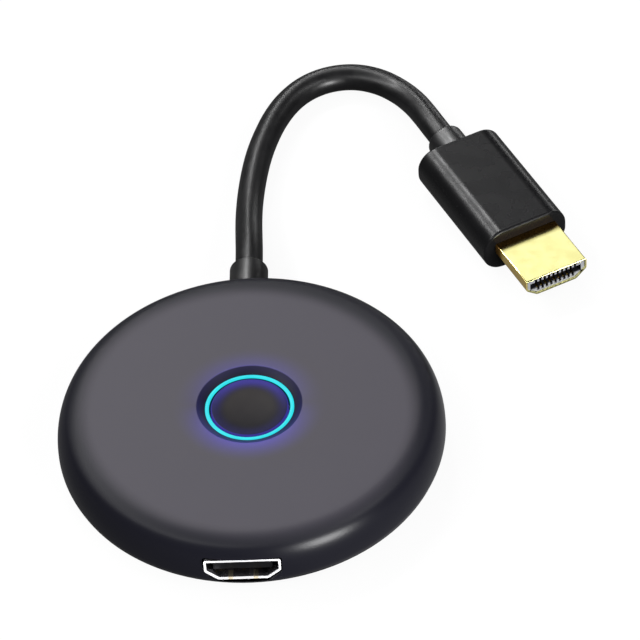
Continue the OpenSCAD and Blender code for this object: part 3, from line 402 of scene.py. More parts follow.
class Finish:
    """A material that is put together node by node on one Principled shader."""

    def __init__(self, name, rough=0.4, metal=0.0, specular=0.5):
        self.material = bpy.data.materials.new(name)
        self.material.use_nodes = True
        self.nodes, self.links = self.material.node_tree.nodes, self.material.node_tree.links
        self.nodes.clear()
        self.output = self.nodes.new("ShaderNodeOutputMaterial")
        self.shader = self.nodes.new("ShaderNodeBsdfPrincipled")
        self.links.new(self.shader.outputs[0], self.output.inputs["Surface"])
        self.set("Metallic", metal)
        self.set("Roughness", rough)
        self.set("Specular IOR Level", specular)
        self.place = self.nodes.new("ShaderNodeTexCoord").outputs["Object"]

    def set(self, socket, value):
        self.shader.inputs[socket].default_value = value

    def feed(self, socket, source):
        self.links.new(source, self.shader.inputs[socket])

    def give(self, socket, value):
        """Sets a node's socket to a constant, or links it to another node's output."""
        if isinstance(value, (int, float, tuple)):
            socket.default_value = value
        else:
            self.links.new(value, socket)

    def math(self, operation, first, second=None, clamp=False):
        node = self.nodes.new("ShaderNodeMath")
        node.operation, node.use_clamp = operation, clamp
        self.give(node.inputs[0], first)
        if second is not None:
            self.give(node.inputs[1], second)
        return node.outputs[0]

    def plus(self, first, second):
        return self.math("ADD", first, second)

    def times(self, first, second):
        return self.math("MULTIPLY", first, second)

    def xyz(self):
        """A place's three coordinates, in metres."""
        node = self.nodes.new("ShaderNodeSeparateXYZ")
        self.links.new(self.place, node.inputs[0])
        return node.outputs

    def radius(self):
        """Distance from the Z axis, in metres."""
        x, y, _ = self.xyz()
        return self.math("SQRT", self.plus(self.times(x, x), self.times(y, y)))

    def from_plug(self, turn):
        """Distance from the cable's end towards a turn in degrees round Z, in metres."""
        x, y, _ = self.xyz()
        from_x = self.math("SUBTRACT", x, PLUG_AT[0] * MM)
        from_y = self.math("SUBTRACT", y, PLUG_AT[1] * MM)
        turn = math.radians(turn)
        return self.plus(self.times(from_x, math.cos(turn)), self.times(from_y, math.sin(turn)))

    def noise(self, scale, detail=2.0, stretch=None):
        node = self.nodes.new("ShaderNodeTexNoise")
        node.inputs["Scale"].default_value = scale
        node.inputs["Detail"].default_value = detail
        source = self.place
        if stretch:
            mapping = self.nodes.new("ShaderNodeMapping")
            mapping.inputs["Scale"].default_value = stretch
            self.links.new(source, mapping.inputs["Vector"])
            source = mapping.outputs[0]
        self.links.new(source, node.inputs["Vector"])
        return node.outputs["Fac"]

    def between(self, value, low, high, to_low, to_high, smooth=True):
        """Maps a value's range to another, held at both ends."""
        node = self.nodes.new("ShaderNodeMapRange")
        node.interpolation_type = "SMOOTHSTEP" if smooth else "LINEAR"
        self.links.new(value, node.inputs["Value"])
        for name, number in zip(("From Min", "From Max", "To Min", "To Max"), (low, high, to_low, to_high)):
            node.inputs[name].default_value = number
        return node.outputs["Result"]

    def span(self, place, low, high, to_low, to_high, smooth=True):
        """As between, for a place or distance, with its range in millimetres."""
        return self.between(place, low * MM, high * MM, to_low, to_high, smooth)

    def vary(self, noise, to_low, to_high):
        """Maps the range that noise mostly fills to another."""
        return self.between(noise, NOISE_LOW, NOISE_HIGH, to_low, to_high)

    def tint(self, noise, first, last):
        """Two colours over the range that noise mostly fills."""
        return self.ramp(noise, first, last, NOISE_LOW, NOISE_HIGH)

    def ramp(self, value, first, last, start=0.0, end=1.0):
        """A colour ramp between two colours."""
        node = self.nodes.new("ShaderNodeValToRGB")
        self.links.new(value, node.inputs[0])
        for element, position, tint in zip(node.color_ramp.elements, (start, end), (first, last)):
            element.position, element.color = position, tint
        return node.outputs["Color"]

    def blend(self, share, first, second):
        """Mixes two colours; a share of 1 is all of the second."""
        node = self.nodes.new("ShaderNodeMix")
        node.data_type = "RGBA"
        for index, value in ((0, share), (6, first), (7, second)):
            self.give(node.inputs[index], value)
        return node.outputs[2]

    def bumps(self, height, strength, depth):
        node = self.nodes.new("ShaderNodeBump")
        node.inputs["Strength"].default_value = strength
        node.inputs["Distance"].default_value = depth
        self.links.new(height, node.inputs["Height"])
        self.links.new(node.outputs[0], self.shader.inputs["Normal"])


def moulded(name, tint, rough, specular, shift_by, depth):
    """Moulded plastic or rubber: a fine grain, and a colour and gloss that vary a little from place to place."""
    finish = Finish(name, rough=rough, specular=specular)
    finish.feed("Base Color", finish.tint(finish.noise(60.0, 3.0), *tones(colour(*tint), shift_by)))
    finish.feed("Roughness", finish.vary(finish.noise(220.0), rough * 0.9, rough * 1.1))
    finish.bumps(finish.noise(1800.0), 0.25, depth)
    return finish.material


def metallic(name, tint, rough, stretch):
    """Plated or drawn metal, with faint streaks in its gloss."""
    finish = Finish(name, rough=rough, metal=1.0)
    streaks = finish.noise(400.0, 3.0, stretch)
    finish.feed("Base Color", finish.tint(streaks, *tones(colour(*tint), 0.08)))
    finish.feed("Roughness", finish.vary(streaks, rough * 0.8, rough * 1.25))
    finish.bumps(streaks, 0.15, 0.00001)
    return finish.material


def satin(finish):
    """The fine grain of the case's top and the button."""
    finish.bumps(finish.noise(2600.0), 0.2, 0.00003)


def case_finish():
    """Satin top face, darkened by painted shade towards a smoother rim, with a painted violet glow of the ring's
    light in the dish and round it.
    """
    finish = Finish("case_plastic", rough=0.4, specular=0.12)
    r = finish.radius()
    x, y, z = finish.xyz()
    cloud = finish.between(finish.noise(90.0, 3.0), 0.35, 0.65, 0.0, 0.08)
    face = finish.blend(cloud, colour(55, 53, 59), colour(49, 49, 54))
    # painted shade: the face darkens towards its edge, earliest at the far right and latest on the near side
    by_x, by_y, by_both = 0.0091, 0.042, 1.45
    shade_lean = finish.plus(finish.times(x, by_x), finish.times(y, by_y))
    shade_lean = finish.plus(shade_lean, finish.times(finish.times(x, y), by_both))
    shade_reach = finish.plus(finish.plus(r, 0.3 * MM), shade_lean)
    body = finish.blend(finish.span(shade_reach, 30.5, 34.8, 0.0, 1.0), face, colour(18, 18, 24))
    finish.feed("Roughness", finish.span(r, 35.0, 36.4, 0.5, 0.28))
    satin(finish)
    # painted glow: the ring's light spills over the dish's edge, most of all on the near side
    near = finish.span(y, -10.9, 0.0, 1.0, 0.12, smooth=False)
    far = finish.span(y, 0.0, 10.9, 0.12, 0.42, smooth=False)
    fade = finish.span(r, 10.2, 15.5, 1.0, 0.0, smooth=False)
    outside = finish.times(finish.times(fade, fade), finish.math("MAXIMUM", near, far))
    body = finish.blend(finish.times(outside, 0.7), body, colour(44, 38, 80))
    # painted shade and glow: inside the dish it is darker on the far side, where only a painted highlight on the
    # dish's edge catches the light
    below_top = finish.span(z, BODY_H - 0.15, BODY_H, 1.0, 0.0)
    dish = finish.times(finish.span(r, DISH_R + 0.2, DISH_R + 0.4, 1.0, 0.0), below_top)
    inside = finish.times(finish.span(y, -9.5, 4.0, 0.42, 0.12), finish.span(r, 8.8, 10.1, 0.4, 1.0))
    edge = finish.math("MINIMUM", finish.span(r, 10.22, 10.32, 0.0, 1.0), finish.span(r, 10.4, 10.6, 1.0, 0.0))
    edge = finish.times(edge, finish.span(y, 4.0, 9.5, 0.0, 0.16))
    # painted shade: the dish's walls are near black under the painted glow
    finish.feed("Base Color", finish.blend(dish, body, colour(9, 9, 17)))
    # the painted glow, given as violet emission
    glow = finish.plus(finish.blend(dish, outside, inside), edge)
    finish.set("Emission Color", colour(82, 74, 190))
    finish.feed("Emission Strength", finish.times(glow, 0.55))
    return finish.material


def cap_finish():
    """Button with painted shade, lighter on the far side and darker towards its edge, a painted violet glow where
    the ring lights it, and a painted bright highlight on its rounded edge.
    """
    finish = Finish("button_plastic", rough=0.45, specular=0.05)
    r = finish.radius()
    y = finish.xyz()[1]
    cloud = finish.vary(finish.noise(160.0, 3.0), -0.15, 0.15)
    # painted shade: lighter on the far side, over a random variation
    shade_and_tone = finish.math("ADD", finish.span(y, -6.5, 4.5, 0.0, 1.0), cloud, clamp=True)
    middle = finish.ramp(shade_and_tone, colour(16, 15, 18), colour(36, 34, 34))
    # painted shade: darker towards the edge
    outer = finish.span(r, 4.0, 7.0, 0.0, 1.0)
    finish.feed("Base Color", finish.blend(outer, middle, colour(9, 9, 15)))
    satin(finish)
    # painted glow of the ring, strongest at the edge and on the far side
    wash = finish.times(finish.times(outer, outer), finish.span(y, -2.0, 7.0, 0.1, 0.55))
    # painted highlight on the rounded edge
    edge_highlight = finish.span(r, 7.28, 7.42, 0.0, 0.55)
    finish.set("Emission Color", colour(74, 66, 184))
    finish.feed("Emission Strength", finish.math("MAXIMUM", wash, edge_highlight))
    return finish.material


def ring_finish():
    """Milky light guide, evenly lit in cyan on its crown, with painted shade leaving it nearly dark below that,
    down to its foot in the groove.
    """
    finish = Finish("ring_light", rough=0.4, specular=0.1)
    finish.set("Base Color", colour(8, 40, 46))
    finish.feed("Emission Color", finish.tint(finish.noise(300.0), colour(38, 224, 234), colour(48, 236, 245)))
    z = finish.xyz()[2]
    # painted shade: nearly dark below the crown, in the groove
    finish.feed("Emission Strength", finish.span(z, DISH_Z - 0.34, DISH_Z - 0.24, 0.02, 0.93))
    return finish.material


def gold_finish():
    """Bright gilt sheet, with painted shade making it browner on its two narrow sides, and a painted shadow where
    it comes out of the grip.
    """
    finish = Finish("plug_gold", rough=0.16, metal=1.0)
    streaks = finish.noise(500.0, 3.0, (1, 1, 1))
    face = finish.tint(streaks, colour(246, 240, 164), colour(251, 247, 174))
    # painted shade: the two narrow sides browner and less metallic
    side = finish.span(finish.math("ABSOLUTE", finish.from_plug(PLUG_TURN + 90)), 6.72, 6.90, 0.0, 1.0)
    # painted shadow where the sheet comes out of the grip
    root_shadow = finish.span(finish.from_plug(PLUG_TURN), GRIP_END_X + 1.3, GRIP_END_X + 3.2, 1.0, 0.0)
    sheet = finish.blend(side, face, colour(172, 148, 82))
    finish.feed("Base Color", finish.blend(root_shadow, sheet, colour(92, 66, 24)))
    finish.feed("Metallic", finish.math("SUBTRACT", 1.0, finish.times(side, 0.6)))
    finish.feed("Roughness", finish.vary(streaks, 0.14, 0.19))
    return finish.material


def socket_finish():
    """Bright tin on the socket's lip, dull in the shade of its mouth, and a painted warm glint on its two lower
    leaves.
    """
    finish = Finish("socket_metal", rough=0.25, metal=1.0)
    x, y, z = finish.xyz()
    streaks = finish.noise(400.0, 3.0, (1, 0.1, 1))
    lip = finish.tint(streaks, colour(247, 247, 250), colour(253, 253, 254))
    inner = finish.span(y, SOCKET_Y + 0.16, SOCKET_Y + 0.3, 0.0, 1.0)
    front = finish.span(y, -30.0, -25.0, 1.0, 0.0)
    shade = finish.blend(finish.times(inner, front), lip, colour(150, 148, 154))
    # painted glint on the front of the two lower leaves
    off_line = finish.math("ABSOLUTE", finish.math("SUBTRACT", x, LINE_X * MM))
    off_leaf = finish.math("ABSOLUTE", finish.math("SUBTRACT", off_line, LEAF_X * MM))
    low = finish.span(z, SOCKET_Z - 1.6, SOCKET_Z - 1.4, 1.0, 0.0)
    low = finish.times(low, finish.span(y, -35.5, -35.1, 1.0, 0.0))
    leaf = finish.times(finish.span(off_leaf, 0.4, 0.5, 1.0, 0.0), low)
    finish.feed("Base Color", finish.blend(leaf, shade, colour(226, 214, 188)))
    finish.feed("Metallic", finish.span(y, SOCKET_Y + 0.16, SOCKET_Y + 0.3, 0.3, 1.0))
    finish.feed("Roughness", finish.vary(streaks, 0.2, 0.3))
    finish.bumps(streaks, 0.1, 0.000005)
    return finish.material


def insulator_finish():
    """Grey plastic on the plug's face, with painted shade making it black in its slot and grooves."""
    finish = Finish("grey_insulation", rough=0.4, specular=0.3)
    cloud = finish.noise(300.0)
    pale = finish.tint(cloud, colour(116, 117, 121), colour(126, 127, 131))
    # painted shade: black from about half a millimetre behind the face, in the slot and grooves
    depth = finish.span(finish.from_plug(PLUG_TURN), TIP_X - 0.75, TIP_X - 0.5, 1.0, 0.0)
    finish.feed("Base Color", finish.blend(depth, pale, colour(22, 22, 26)))
    finish.bumps(cloud, 0.1, 0.00001)
    return finish.material


def board_finish(name, lacquer, track):
    """Printed circuit board: lacquer over fine copper tracks."""
    finish = Finish(name, rough=0.3, specular=0.5)
    cells = finish.nodes.new("ShaderNodeTexVoronoi")
    cells.distance = "CHEBYCHEV"
    cells.inputs["Scale"].default_value = 420.0
    finish.links.new(finish.place, cells.inputs["Vector"])
    tracks = finish.between(cells.outputs["Distance"], 0.40, 0.46, 0.0, 1.0)
    finish.feed("Base Color", finish.blend(tracks, lacquer, track))
    finish.bumps(tracks, 0.4, 0.00004)
    return finish.material


def jacket_finish():
    """Soft cable jacket: a satin black with a fine grain."""
    finish = Finish("cable_jacket", rough=0.4, specular=0.27)
    finish.feed("Base Color", finish.tint(finish.noise(150.0, 3.0), colour(9, 9, 10), colour(13, 13, 14)))
    finish.feed("Roughness", finish.vary(finish.noise(500.0), 0.34, 0.42))
    finish.bumps(finish.noise(2200.0), 0.2, 0.000002)
    return finish.material


MATERIALS = {
    "case_plastic": case_finish(),
    "button_plastic": cap_finish(),
    "ring_light": ring_finish(),
    "plug_gold": gold_finish(),
    "socket_metal": socket_finish(),
    "grey_insulation": insulator_finish(),
    "cable_jacket": jacket_finish(),
    "board": board_finish("board", colour(18, 84, 46), colour(34, 116, 66)),
    "board_dark": board_finish("board_dark", colour(16, 62, 84), colour(30, 88, 112)),
}

# name, colour, roughness, specular level, how much the colour varies, depth of the grain in metres
for row in (
    ("base_plastic", (30, 30, 34), 0.42, 0.30, 0.12, 0.00002),
    ("foot_rubber", (40, 40, 42), 0.75, 0.20, 0.12, 0.00002),
    ("white_plastic", (225, 225, 222), 0.50, 0.40, 0.03, 0.00002),
    ("lamp", (250, 225, 140), 0.30, 0.50, 0.05, 0.00002),
    ("black_insulation", (12, 12, 13), 0.50, 0.10, 0.12, 0.00002),
    ("plunger_plastic", (58, 56, 54), 0.50, 0.30, 0.12, 0.00002),
    ("chip", (34, 34, 37), 0.55, 0.35, 0.12, 0.00002),
    ("pad_silicone", (150, 165, 190), 0.70, 0.30, 0.12, 0.00002),
    ("coil_ferrite", (78, 78, 82), 0.60, 0.35, 0.12, 0.00002),
    ("antenna_film", (60, 46, 20), 0.35, 0.40, 0.12, 0.00002),
    ("lead_black", (34, 34, 35), 0.50, 0.30, 0.12, 0.00002),
    ("cable_moulding", (12, 12, 13), 0.36, 0.45, 0.12, 0.000003),
    ("clamp_plastic", (60, 60, 62), 0.50, 0.30, 0.12, 0.00002),
    ("wire_red", (190, 50, 40), 0.45, 0.40, 0.12, 0.00002),
    ("header_plastic", (232, 228, 214), 0.50, 0.40, 0.03, 0.00002),
    ("plug_moulding", (14, 14, 15), 0.27, 0.12, 0.12, 0.000001),
):
    MATERIALS[row[0]] = moulded(*row)

# name, colour, roughness, how the streaks are stretched
for row in (
    ("screw_steel", (150, 150, 155), 0.30, (1, 1, 1)),
    ("tinned_metal", (190, 190, 195), 0.35, (1, 1, 1)),
    ("spring_steel", (175, 172, 168), 0.25, (1, 1, 1)),
    ("heat_sink_metal", (185, 187, 192), 0.40, (1, 0.05, 1)),
    ("can_metal", (200, 202, 206), 0.30, (1, 1, 1)),
    ("gold_contact", (235, 200, 110), 0.22, (1, 1, 1)),
    ("ferrule_metal", (180, 182, 186), 0.30, (1, 1, 1)),
):
    MATERIALS[row[0]] = metallic(*row)


# Case ---------------------------------------------------------------------------------------------------------

SEAM_TURN = -math.degrees(math.asin((EQUATOR_H - SEAM_Z) / (EQUATOR_H - STAND_H)))
SEAM_R = BASE_R + (BODY_R - BASE_R) * math.cos(math.radians(SEAM_TURN))
LOWER_ARC = arc(BASE_R, EQUATOR_H, BODY_R - BASE_R, EQUATOR_H - STAND_H, -90, 0, 24)
UPPER_ARC = edge_arc(FLAT_R, EQUATOR_H, BODY_R - FLAT_R, BODY_H - EQUATOR_H, 32)
INNER_ARC = edge_arc(FLAT_R, EQUATOR_H, INNER_R - FLAT_R, CEILING_Z - EQUATOR_H, 16)


def socket_cutter():
    """The video socket's opening through the rim."""
    bar = connector_bar("cutter", SOCKET_W + 2 * OPENING_GAP, SOCKET_H + 2 * OPENING_GAP, -BODY_R - 1, 5)
    return placed(bar, shift(LINE_X, 0, SOCKET_Z))


def inlet_cutter():
    """The power inlet's opening: a bar with the outline of a slot."""
    w, h = INLET_W / 2 + OPENING_GAP, INLET_H / 2 + OPENING_GAP
    bar = block("cutter", (-w, BODY_R - 4, -h), (w, BODY_R + 2, h))
    bpy.ops.object.mode_set(mode="EDIT")
    pick("edges", lambda ends: abs(ends[0].y - ends[1].y) > CLOSE)
    bpy.ops.mesh.bevel(offset=(h - CLOSE) * MM, segments=10)
    bpy.ops.object.mode_set(mode="OBJECT")
    return placed(bar, spin(INLET_TURN, "Z") @ shift(0, 0, INLET_Z))


def gland_cutter():
    r = COLLAR_R + GLAND_GAP
    return placed(turned("cutter", [(r, 0), (r, 12)], sides=96), lathe_to_y(LINE_X, FLANGE_END_Y, CABLE_Z))


def make_case_top():
    """Upper shell: one smooth dome with the dish, the ring's hole, four bosses and three openings in its rim."""
    profile = [(SEAM_R - SEAM_W / 2, SEAM_Z), (SEAM_R, SEAM_Z + SEAM_W / 2)]
    profile += [p for p in LOWER_ARC if p[1] > SEAM_Z + SEAM_W]
    profile += UPPER_ARC[1:]
    profile += [(r, BODY_H) for r in FLAT_RINGS]
    profile += arc(DISH_R + DISH_EDGE, BODY_H - DISH_EDGE, DISH_EDGE, DISH_EDGE, 90, 150, 4)
    profile += [(HOLE_R + CHAMFER, DISH_Z + CHAMFER_TOP), (HOLE_R, DISH_Z - CHAMFER_FOOT)]
    profile += [(HOLE_R, HUB_Z), (HUB_R, HUB_Z), (HUB_R, CEILING_Z)]
    profile += INNER_ARC[::-1] + [(INNER_R, SEAM_Z)]
    shell = turned("case_top", profile, sides=256, closed=True)
    for turn in BOSS_TURNS:
        at = spin(turn, "Z") @ shift(BOSS_AT, 0, 0)
        boss = turned("boss", [(BOSS_R, DECK_Z), (BOSS_R, CEILING_Z + BOSS_IN_ROOF)], sides=48)
        unite(shell, placed(boss, at))
        hole = turned("cutter", [(SCREW_R, DECK_Z - SCREW_START), (SCREW_R, DECK_Z + SCREW_L)], sides=32)
        cut_away(shell, placed(hole, at))
    cut_away(shell, socket_cutter(), inlet_cutter(), gland_cutter())
    settle(shell, 30)
    return fit_out(shell, "case", "case_plastic", "top_shell")


def make_case_base():
    """Lower shell, in the CAD's own shape."""
    return fit_out(dressed_copy("case_base", "bottom_shell"), "case", "base_plastic", "bottom_shell")


# Button and ring ----------------------------------------------------------------------------------------------


def make_button():
    """Pressed cap with a finger hollow, a rounded edge and a skirt, on its stem, with three tabs."""
    top = heights("button_cap")[1]
    hollow = [(r, top - HOLLOW_DEPTH * (1 - (r / HOLLOW_R) ** 2) ** 1.5) for r in HOLLOW_RINGS]
    rim = arc(CAP_R - CAP_EDGE, top - CAP_EDGE, CAP_EDGE, CAP_EDGE, 0, 90, 6)
    profile = [(CAP_R, TAB_Z)] + rim + [(HOLLOW_R, top)] + hollow + [(0.0, top - HOLLOW_DEPTH)]
    cap = turned("button", profile, sides=128)
    inner_r = CAP_R - CAP_WALL
    cut_away(cap, turned("cutter", [(inner_r, TAB_Z - 0.5), (inner_r, top - CAP_ROOF)], sides=96))
    stem = turned("stem", [(STEM_R, heights("switch_plunger")[1]), (STEM_R, top - STEM_ROOF)], sides=48)
    tabs = []
    for turn in (0, 120, 240):
        tab = block("tab", (CAP_R - TAB_IN, -TAB_W / 2, TAB_Z), (CAP_R + TAB_OUT, TAB_W / 2, TAB_Z + TAB_H))
        soften(tab, 0.15)
        tabs.append(placed(tab, spin(turn, "Z")))
    piece = join("button", [cap, stem] + tabs)
    settle(piece, 30)
    return fit_out(piece, "button", "button_plastic", "button_cap")


def make_ring():
    """Light guide: the lit edge is slightly crowned and stands in its groove, on a wide flange."""
    low = heights("light_ring")[0]
    middle_r, half_wall = (RING_R + RING_IN_R) / 2, (RING_R - RING_IN_R) / 2
    profile = [(RING_IN_R, low), (RING_FLANGE_R, low), (RING_FLANGE_R, HUB_Z), (RING_R, HUB_Z)]
    profile += arc(middle_r, DISH_Z - RING_CROWN, half_wall, RING_CROWN, 0, 180, 10)
    return fit_out(turned("ring", profile, sides=160, closed=True), "case", "ring_light", "light_ring")


# Socket -------------------------------------------------------------------------------------------------------


def make_socket():
    """Drawn sheet round the video socket's mouth, with eased edges and four spring leaves."""
    tube = connector_skin("socket", SOCKET_W, SOCKET_H, SOCKET_Y, SOCKET_L, 0.35)
    apply_modifier(tube, "SOLIDIFY", thickness=1.5 * SHEET * MM, offset=-1, use_even_offset=True)
    soften(tube, 0.05, angle=60)
    leaves = []
    for side in (-1, 1):
        for x in (-LEAF_X, LEAF_X):
            leaf = block("leaf", (x - LEAF_W / 2, 0, -LEAF_T / 2), (x + LEAF_W / 2, LEAF_L, LEAF_T / 2))
            soften(leaf, 0.05)
            leaves.append(placed(leaf, shift(0, SOCKET_Y + 1.2, side * LEAF_Z) @ spin(-side * LEAF_TILT, "X")))
    piece = join("socket", [tube] + leaves)
    placed(piece, shift(LINE_X, 0, SOCKET_Z))
    settle(piece, 30)
    return fit_out(piece, "case", "socket_metal", "socket_shell")


# Cable and plug -----------------------------------------------------------------------------------------------


def make_gland():
    """Moulded collar where the cable leaves the case, with a rounded end and a square flange inside."""
    profile = [(CABLE_HOLE_R, 0), (COLLAR_R, 0), (COLLAR_R, GLAND_L)]
    profile += arc(COLLAR_R - COLLAR_EDGE, GLAND_L, COLLAR_EDGE, GLAND_ROUND, 0, 90, 8)
    profile += [(CABLE_HOLE_R, GLAND_L + GLAND_ROUND)]
    rod = turned("gland", profile, sides=96, closed=True)
    placed(rod, lathe_to_y(LINE_X, GLAND_Y, CABLE_Z))
    flange = block(
        "flange",
        (LINE_X - FLANGE_HALF_W, FLANGE_Y, CABLE_Z - FLANGE_HALF_H),
        (LINE_X + FLANGE_HALF_W, FLANGE_END_Y, CABLE_Z + FLANGE_HALF_H),
    )
    hole = turned("cutter", [(CABLE_HOLE_R, 0), (CABLE_HOLE_R, 4)], sides=96)
    cut_away(flange, placed(hole, lathe_to_y(LINE_X, FLANGE_Y - 1.1, CABLE_Z)))
    piece = join("gland", [rod, flange])
    settle(piece, 30)
    return fit_out(piece, "case", "cable_moulding", "cable_gland")


def make_cable():
    """The free cable, one smooth curve from the gland to the plug's collar."""
    curve = bpy.data.curves.new("cable", "CURVE")
    curve.dimensions = "3D"
    curve.bevel_depth, curve.bevel_resolution = CABLE_R * MM, 10
    curve.resolution_u = 16
    curve.use_fill_caps = True
    spline = curve.splines.new("NURBS")
    spline.points.add(len(CABLE_ROUTE) - 1)
    for point, place in zip(spline.points, CABLE_ROUTE):
        point.co = (*(v * MM for v in place), 1.0)
    spline.order_u, spline.use_endpoint_u = 3, True
    cable = bpy.data.objects.new("cable", curve)
    bpy.context.scene.collection.objects.link(cable)
    return fit_out(cable, "case", "cable_jacket", "cord")


def make_plug_collar():
    """Moulded collar where the cable enters the plug, with a rounded end and a stub inside the grip."""
    profile = [(CABLE_HOLE_R, 0)] + arc(COLLAR_R - COLLAR_EDGE, COLLAR_EDGE, COLLAR_EDGE, COLLAR_EDGE, -90, 0, 8)
    profile += [(COLLAR_R, GRIP_X), (STUB_R, GRIP_X), (STUB_R, GRIP_X + STUB_L), (CABLE_HOLE_R, GRIP_X + STUB_L)]
    rod = turned("plug_collar_moulding", profile, sides=96, closed=True)
    placed(rod, lathe_to_plug(0))
    settle(rod, 30)
    return fit_out(rod, "case", "cable_moulding", "plug_collar")


def make_grip():
    """Moulded grip with full round sides, softly rounded ends, and rooms for the gilt sheet and the cable."""
    grip = block("grip", (GRIP_X, -GRIP_HALF_W, -GRIP_HALF_H), (GRIP_END_X, GRIP_HALF_W, GRIP_HALF_H))
    bpy.ops.object.mode_set(mode="EDIT")
    pick("edges", lambda ends: abs(ends[0].x - ends[1].x) > CLOSE)
    bpy.ops.mesh.bevel(offset=GRIP_SIDE_R * MM, segments=14)
    pick(
        "edges",
        lambda ends: abs(ends[0].x - ends[1].x) < CLOSE and not GRIP_X + 0.01 < ends[0].x < GRIP_END_X - 0.01,
    )
    bpy.ops.mesh.bevel(offset=GRIP_END_R * MM, segments=5)
    bpy.ops.object.mode_set(mode="OBJECT")
    opening = connector_bar("cutter", PLUG_W + 2 * ROOM_GAP, PLUG_H + 2 * ROOM_GAP, -1, 10)
    cut_away(grip, placed(opening, bar_to_x(SHELL_X - 2)))
    placed(grip, plug_frame())
    rooms = []
    for r, start, length in (
        (STUB_R + ROOM_GAP, GRIP_X - 1, STUB_L + 1),
        (CABLE_R + ROOM_GAP, GRIP_X, ROOM_L),
        (CRIMP_R, CRIMP_X, ROOM_L),
    ):
        rooms.append(placed(turned("cutter", [(r, 0), (r, length)], sides=64), lathe_to_plug(start)))
    rooms.append(placed(block("cutter", FERRULE_LOW, FERRULE_HIGH), plug_frame()))
    cut_away(grip, *rooms)
    settle(grip, 30)
    even_shading(grip)
    return fit_out(grip, "case", "plug_moulding", "plug_grip")


def make_gilt_shell():
    """Folded gilt sheet of the plug, with rounded bends, open at both ends."""
    shell = connector_skin("gilt_shell", PLUG_W, PLUG_H, 0, TIP_X - SHELL_X, 0.3)
    apply_modifier(shell, "SOLIDIFY", thickness=SHEET * MM, offset=-1)
    placed(shell, plug_frame() @ bar_to_x(SHELL_X))
    settle(shell, 30)
    even_shading(shell)
    return fit_out(shell, "case", "plug_gold", "plug_shell")


# Everything together ------------------------------------------------------------------------------------------

cable = make_cable()
gland = make_gland()
collar = make_plug_collar()
grip = make_grip()
gilt_shell = make_gilt_shell()
make_case_top()
make_case_base()
make_button()
make_ring()
make_socket()

# the CAD's own solids show for the rest
KEPT = {
    "rubber_feet": "foot_rubber",
    "case_screws": "screw_steel",
    "light_baffle": "white_plastic",
    "ring_leds": "lamp",
    "switch_body": "black_insulation",
    "switch_terminals": "tinned_metal",
    "switch_dome": "spring_steel",
    "switch_plunger": "plunger_plastic",
    "main_board": "board",
    "processor": "chip",
    "thermal_pad": "pad_silicone",
    "heat_sink": "heat_sink_metal",
    "memory_chips": "chip",
    "flash_chip": "chip",
    "video_chip": "chip",
    "radio_board": "board_dark",
    "radio_shield": "can_metal",
    "crystals": "can_metal",
    "power_coils": "coil_ferrite",
    "capacitors": "can_metal",
    "chip_resistors": "chip",
    "antenna_film": "antenna_film",
    "antenna_lead": "lead_black",
    "antenna_connector": "gold_contact",
    "socket_tongue": "black_insulation",
    "socket_contacts": "gold_contact",
    "inlet_shell": "socket_metal",
    "inlet_tongue": "black_insulation",
    "cable_end": "cable_jacket",
    "cable_clamp": "clamp_plastic",
    "clamp_screws": "screw_steel",
    "cable_wires": "wire_red",
    "wire_header": "header_plastic",
    "plug_cable_end": "cable_jacket",
    "plug_wires": "wire_red",
    "plug_ferrule": "ferrule_metal",
    "plug_insulator": "grey_insulation",
    "plug_contacts": "gold_contact",
}
for node, finish_name in KEPT.items():
    dress(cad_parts[node], finish_name)


# Floor and light ----------------------------------------------------------------------------------------------

# name, direction of the lamp, its distance and size in metres, its power in watts, and what it faces in millimetres
LAMPS = [
    ("top_light", (-0.03, 0.70, 0.71), 1.6, (0.70, 0.64), 1.34, (0, 25, 0)),
    ("key_light", (0.56, -0.76, 0.22), 1.2, (0.44, 0.38), 27.0, (0, 25, 0)),
    ("back_strip", (0.38, 0.92, 0.10), 1.3, (0.50, 0.12), 1.2, (0, 25, 0)),
    ("streak_near", (-0.22, 0.62, 0.76), 1.3, (0.26, 0.12), 6.0, (30, 50, 0)),
    ("streak_far", (-0.40, 0.53, 0.75), 1.3, (0.22, 0.12), 1.8, (30, 50, 0)),
    ("cable_strip", (-0.10, 0.87, 0.49), 1.2, (0.10, 0.34), 2.0, (0, 55, 0)),
]
# a broken ring of strips gives the cable its streak: the turn and the power of each
for turn, power in ((150, 9.0), (182, 6.5), (214, 4.6), (246, 3.0), (280, 0.6), (335, 4.2), (10, 2.0)):
    direction = (math.cos(math.radians(turn)), math.sin(math.radians(turn)), 1.0)
    LAMPS.append((f"ring_lamp_{turn}", direction, 1.3, (0.62, 0.09), power, (20, 90, 0)))


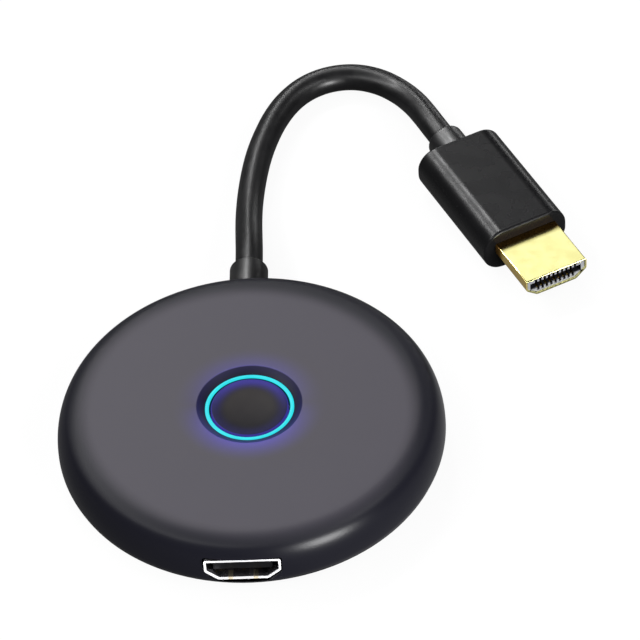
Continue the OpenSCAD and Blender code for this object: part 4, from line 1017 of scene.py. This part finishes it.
def make_floor():
    """White paper.

    The camera sees it nearly evenly white, with a faint shadow left in. The lamps and the object find it darker, so
    that it lights the object from below no more than in the photograph.
    """
    deselect()
    bpy.ops.mesh.primitive_plane_add(size=6, location=(0, 0, 0))
    floor = bpy.context.object
    floor.name = "floor"
    finish = Finish("floor_paper", rough=0.9, specular=0.0)
    path = finish.nodes.new("ShaderNodeLightPath")
    camera_ray = path.outputs["Is Camera Ray"]
    pale = finish.tint(finish.noise(3.0), (0.58, 0.58, 0.58, 1), (0.64, 0.64, 0.64, 1))
    finish.feed("Base Color", finish.blend(camera_ray, (0.07, 0.07, 0.07, 1), pale))
    # painted reflection: the near right part of the paper shows brighter only to mirrored rays, in the case's rim
    x, y, _ = finish.xyz()
    right = finish.times(finish.span(x, 0.0, 20.0, 0.0, 1.0), finish.span(y, 20.0, 45.0, 1.0, 0.0))
    mirror_ray = finish.math("MAXIMUM", path.outputs["Is Glossy Ray"], path.outputs["Is Transmission Ray"])
    mirrored = finish.times(mirror_ray, finish.plus(finish.times(right, 0.3), 0.06))
    white = finish.nodes.new("ShaderNodeEmission")
    white.inputs["Color"].default_value = (1, 1, 1, 1)
    white.inputs["Strength"].default_value = 1.0
    mix = finish.nodes.new("ShaderNodeMixShader")
    finish.links.new(finish.math("MAXIMUM", finish.times(camera_ray, 0.93), mirrored), mix.inputs[0])
    finish.links.new(finish.shader.outputs[0], mix.inputs[1])
    finish.links.new(white.outputs[0], mix.inputs[2])
    finish.links.new(mix.outputs[0], finish.output.inputs["Surface"])
    floor.data.materials.append(finish.material)


def make_lamp(name, direction, distance, size, power, centre):
    """A rectangular studio lamp that hangs in a direction and faces the object."""
    data = bpy.data.lights.new(name, "AREA")
    data.shape = "RECTANGLE"
    data.size, data.size_y = size
    data.energy = power
    lamp = bpy.data.objects.new(name, data)
    bpy.context.scene.collection.objects.link(lamp)
    aim = Vector(direction).normalized()
    lamp.matrix_world = (
        Matrix.Translation(Vector(centre) * MM + aim * distance) @ aim.to_track_quat("Z", "Y").to_matrix().to_4x4()
    )


def make_world():
    world = bpy.data.worlds.new("studio")
    bpy.context.scene.world = world
    world.use_nodes = True
    background = world.node_tree.nodes["Background"]
    background.inputs["Color"].default_value = (1, 1, 1, 1)
    background.inputs["Strength"].default_value = 0.05


make_floor()
make_world()
for row in LAMPS:
    make_lamp(*row)

bpy.context.scene.view_settings.view_transform = "Standard"
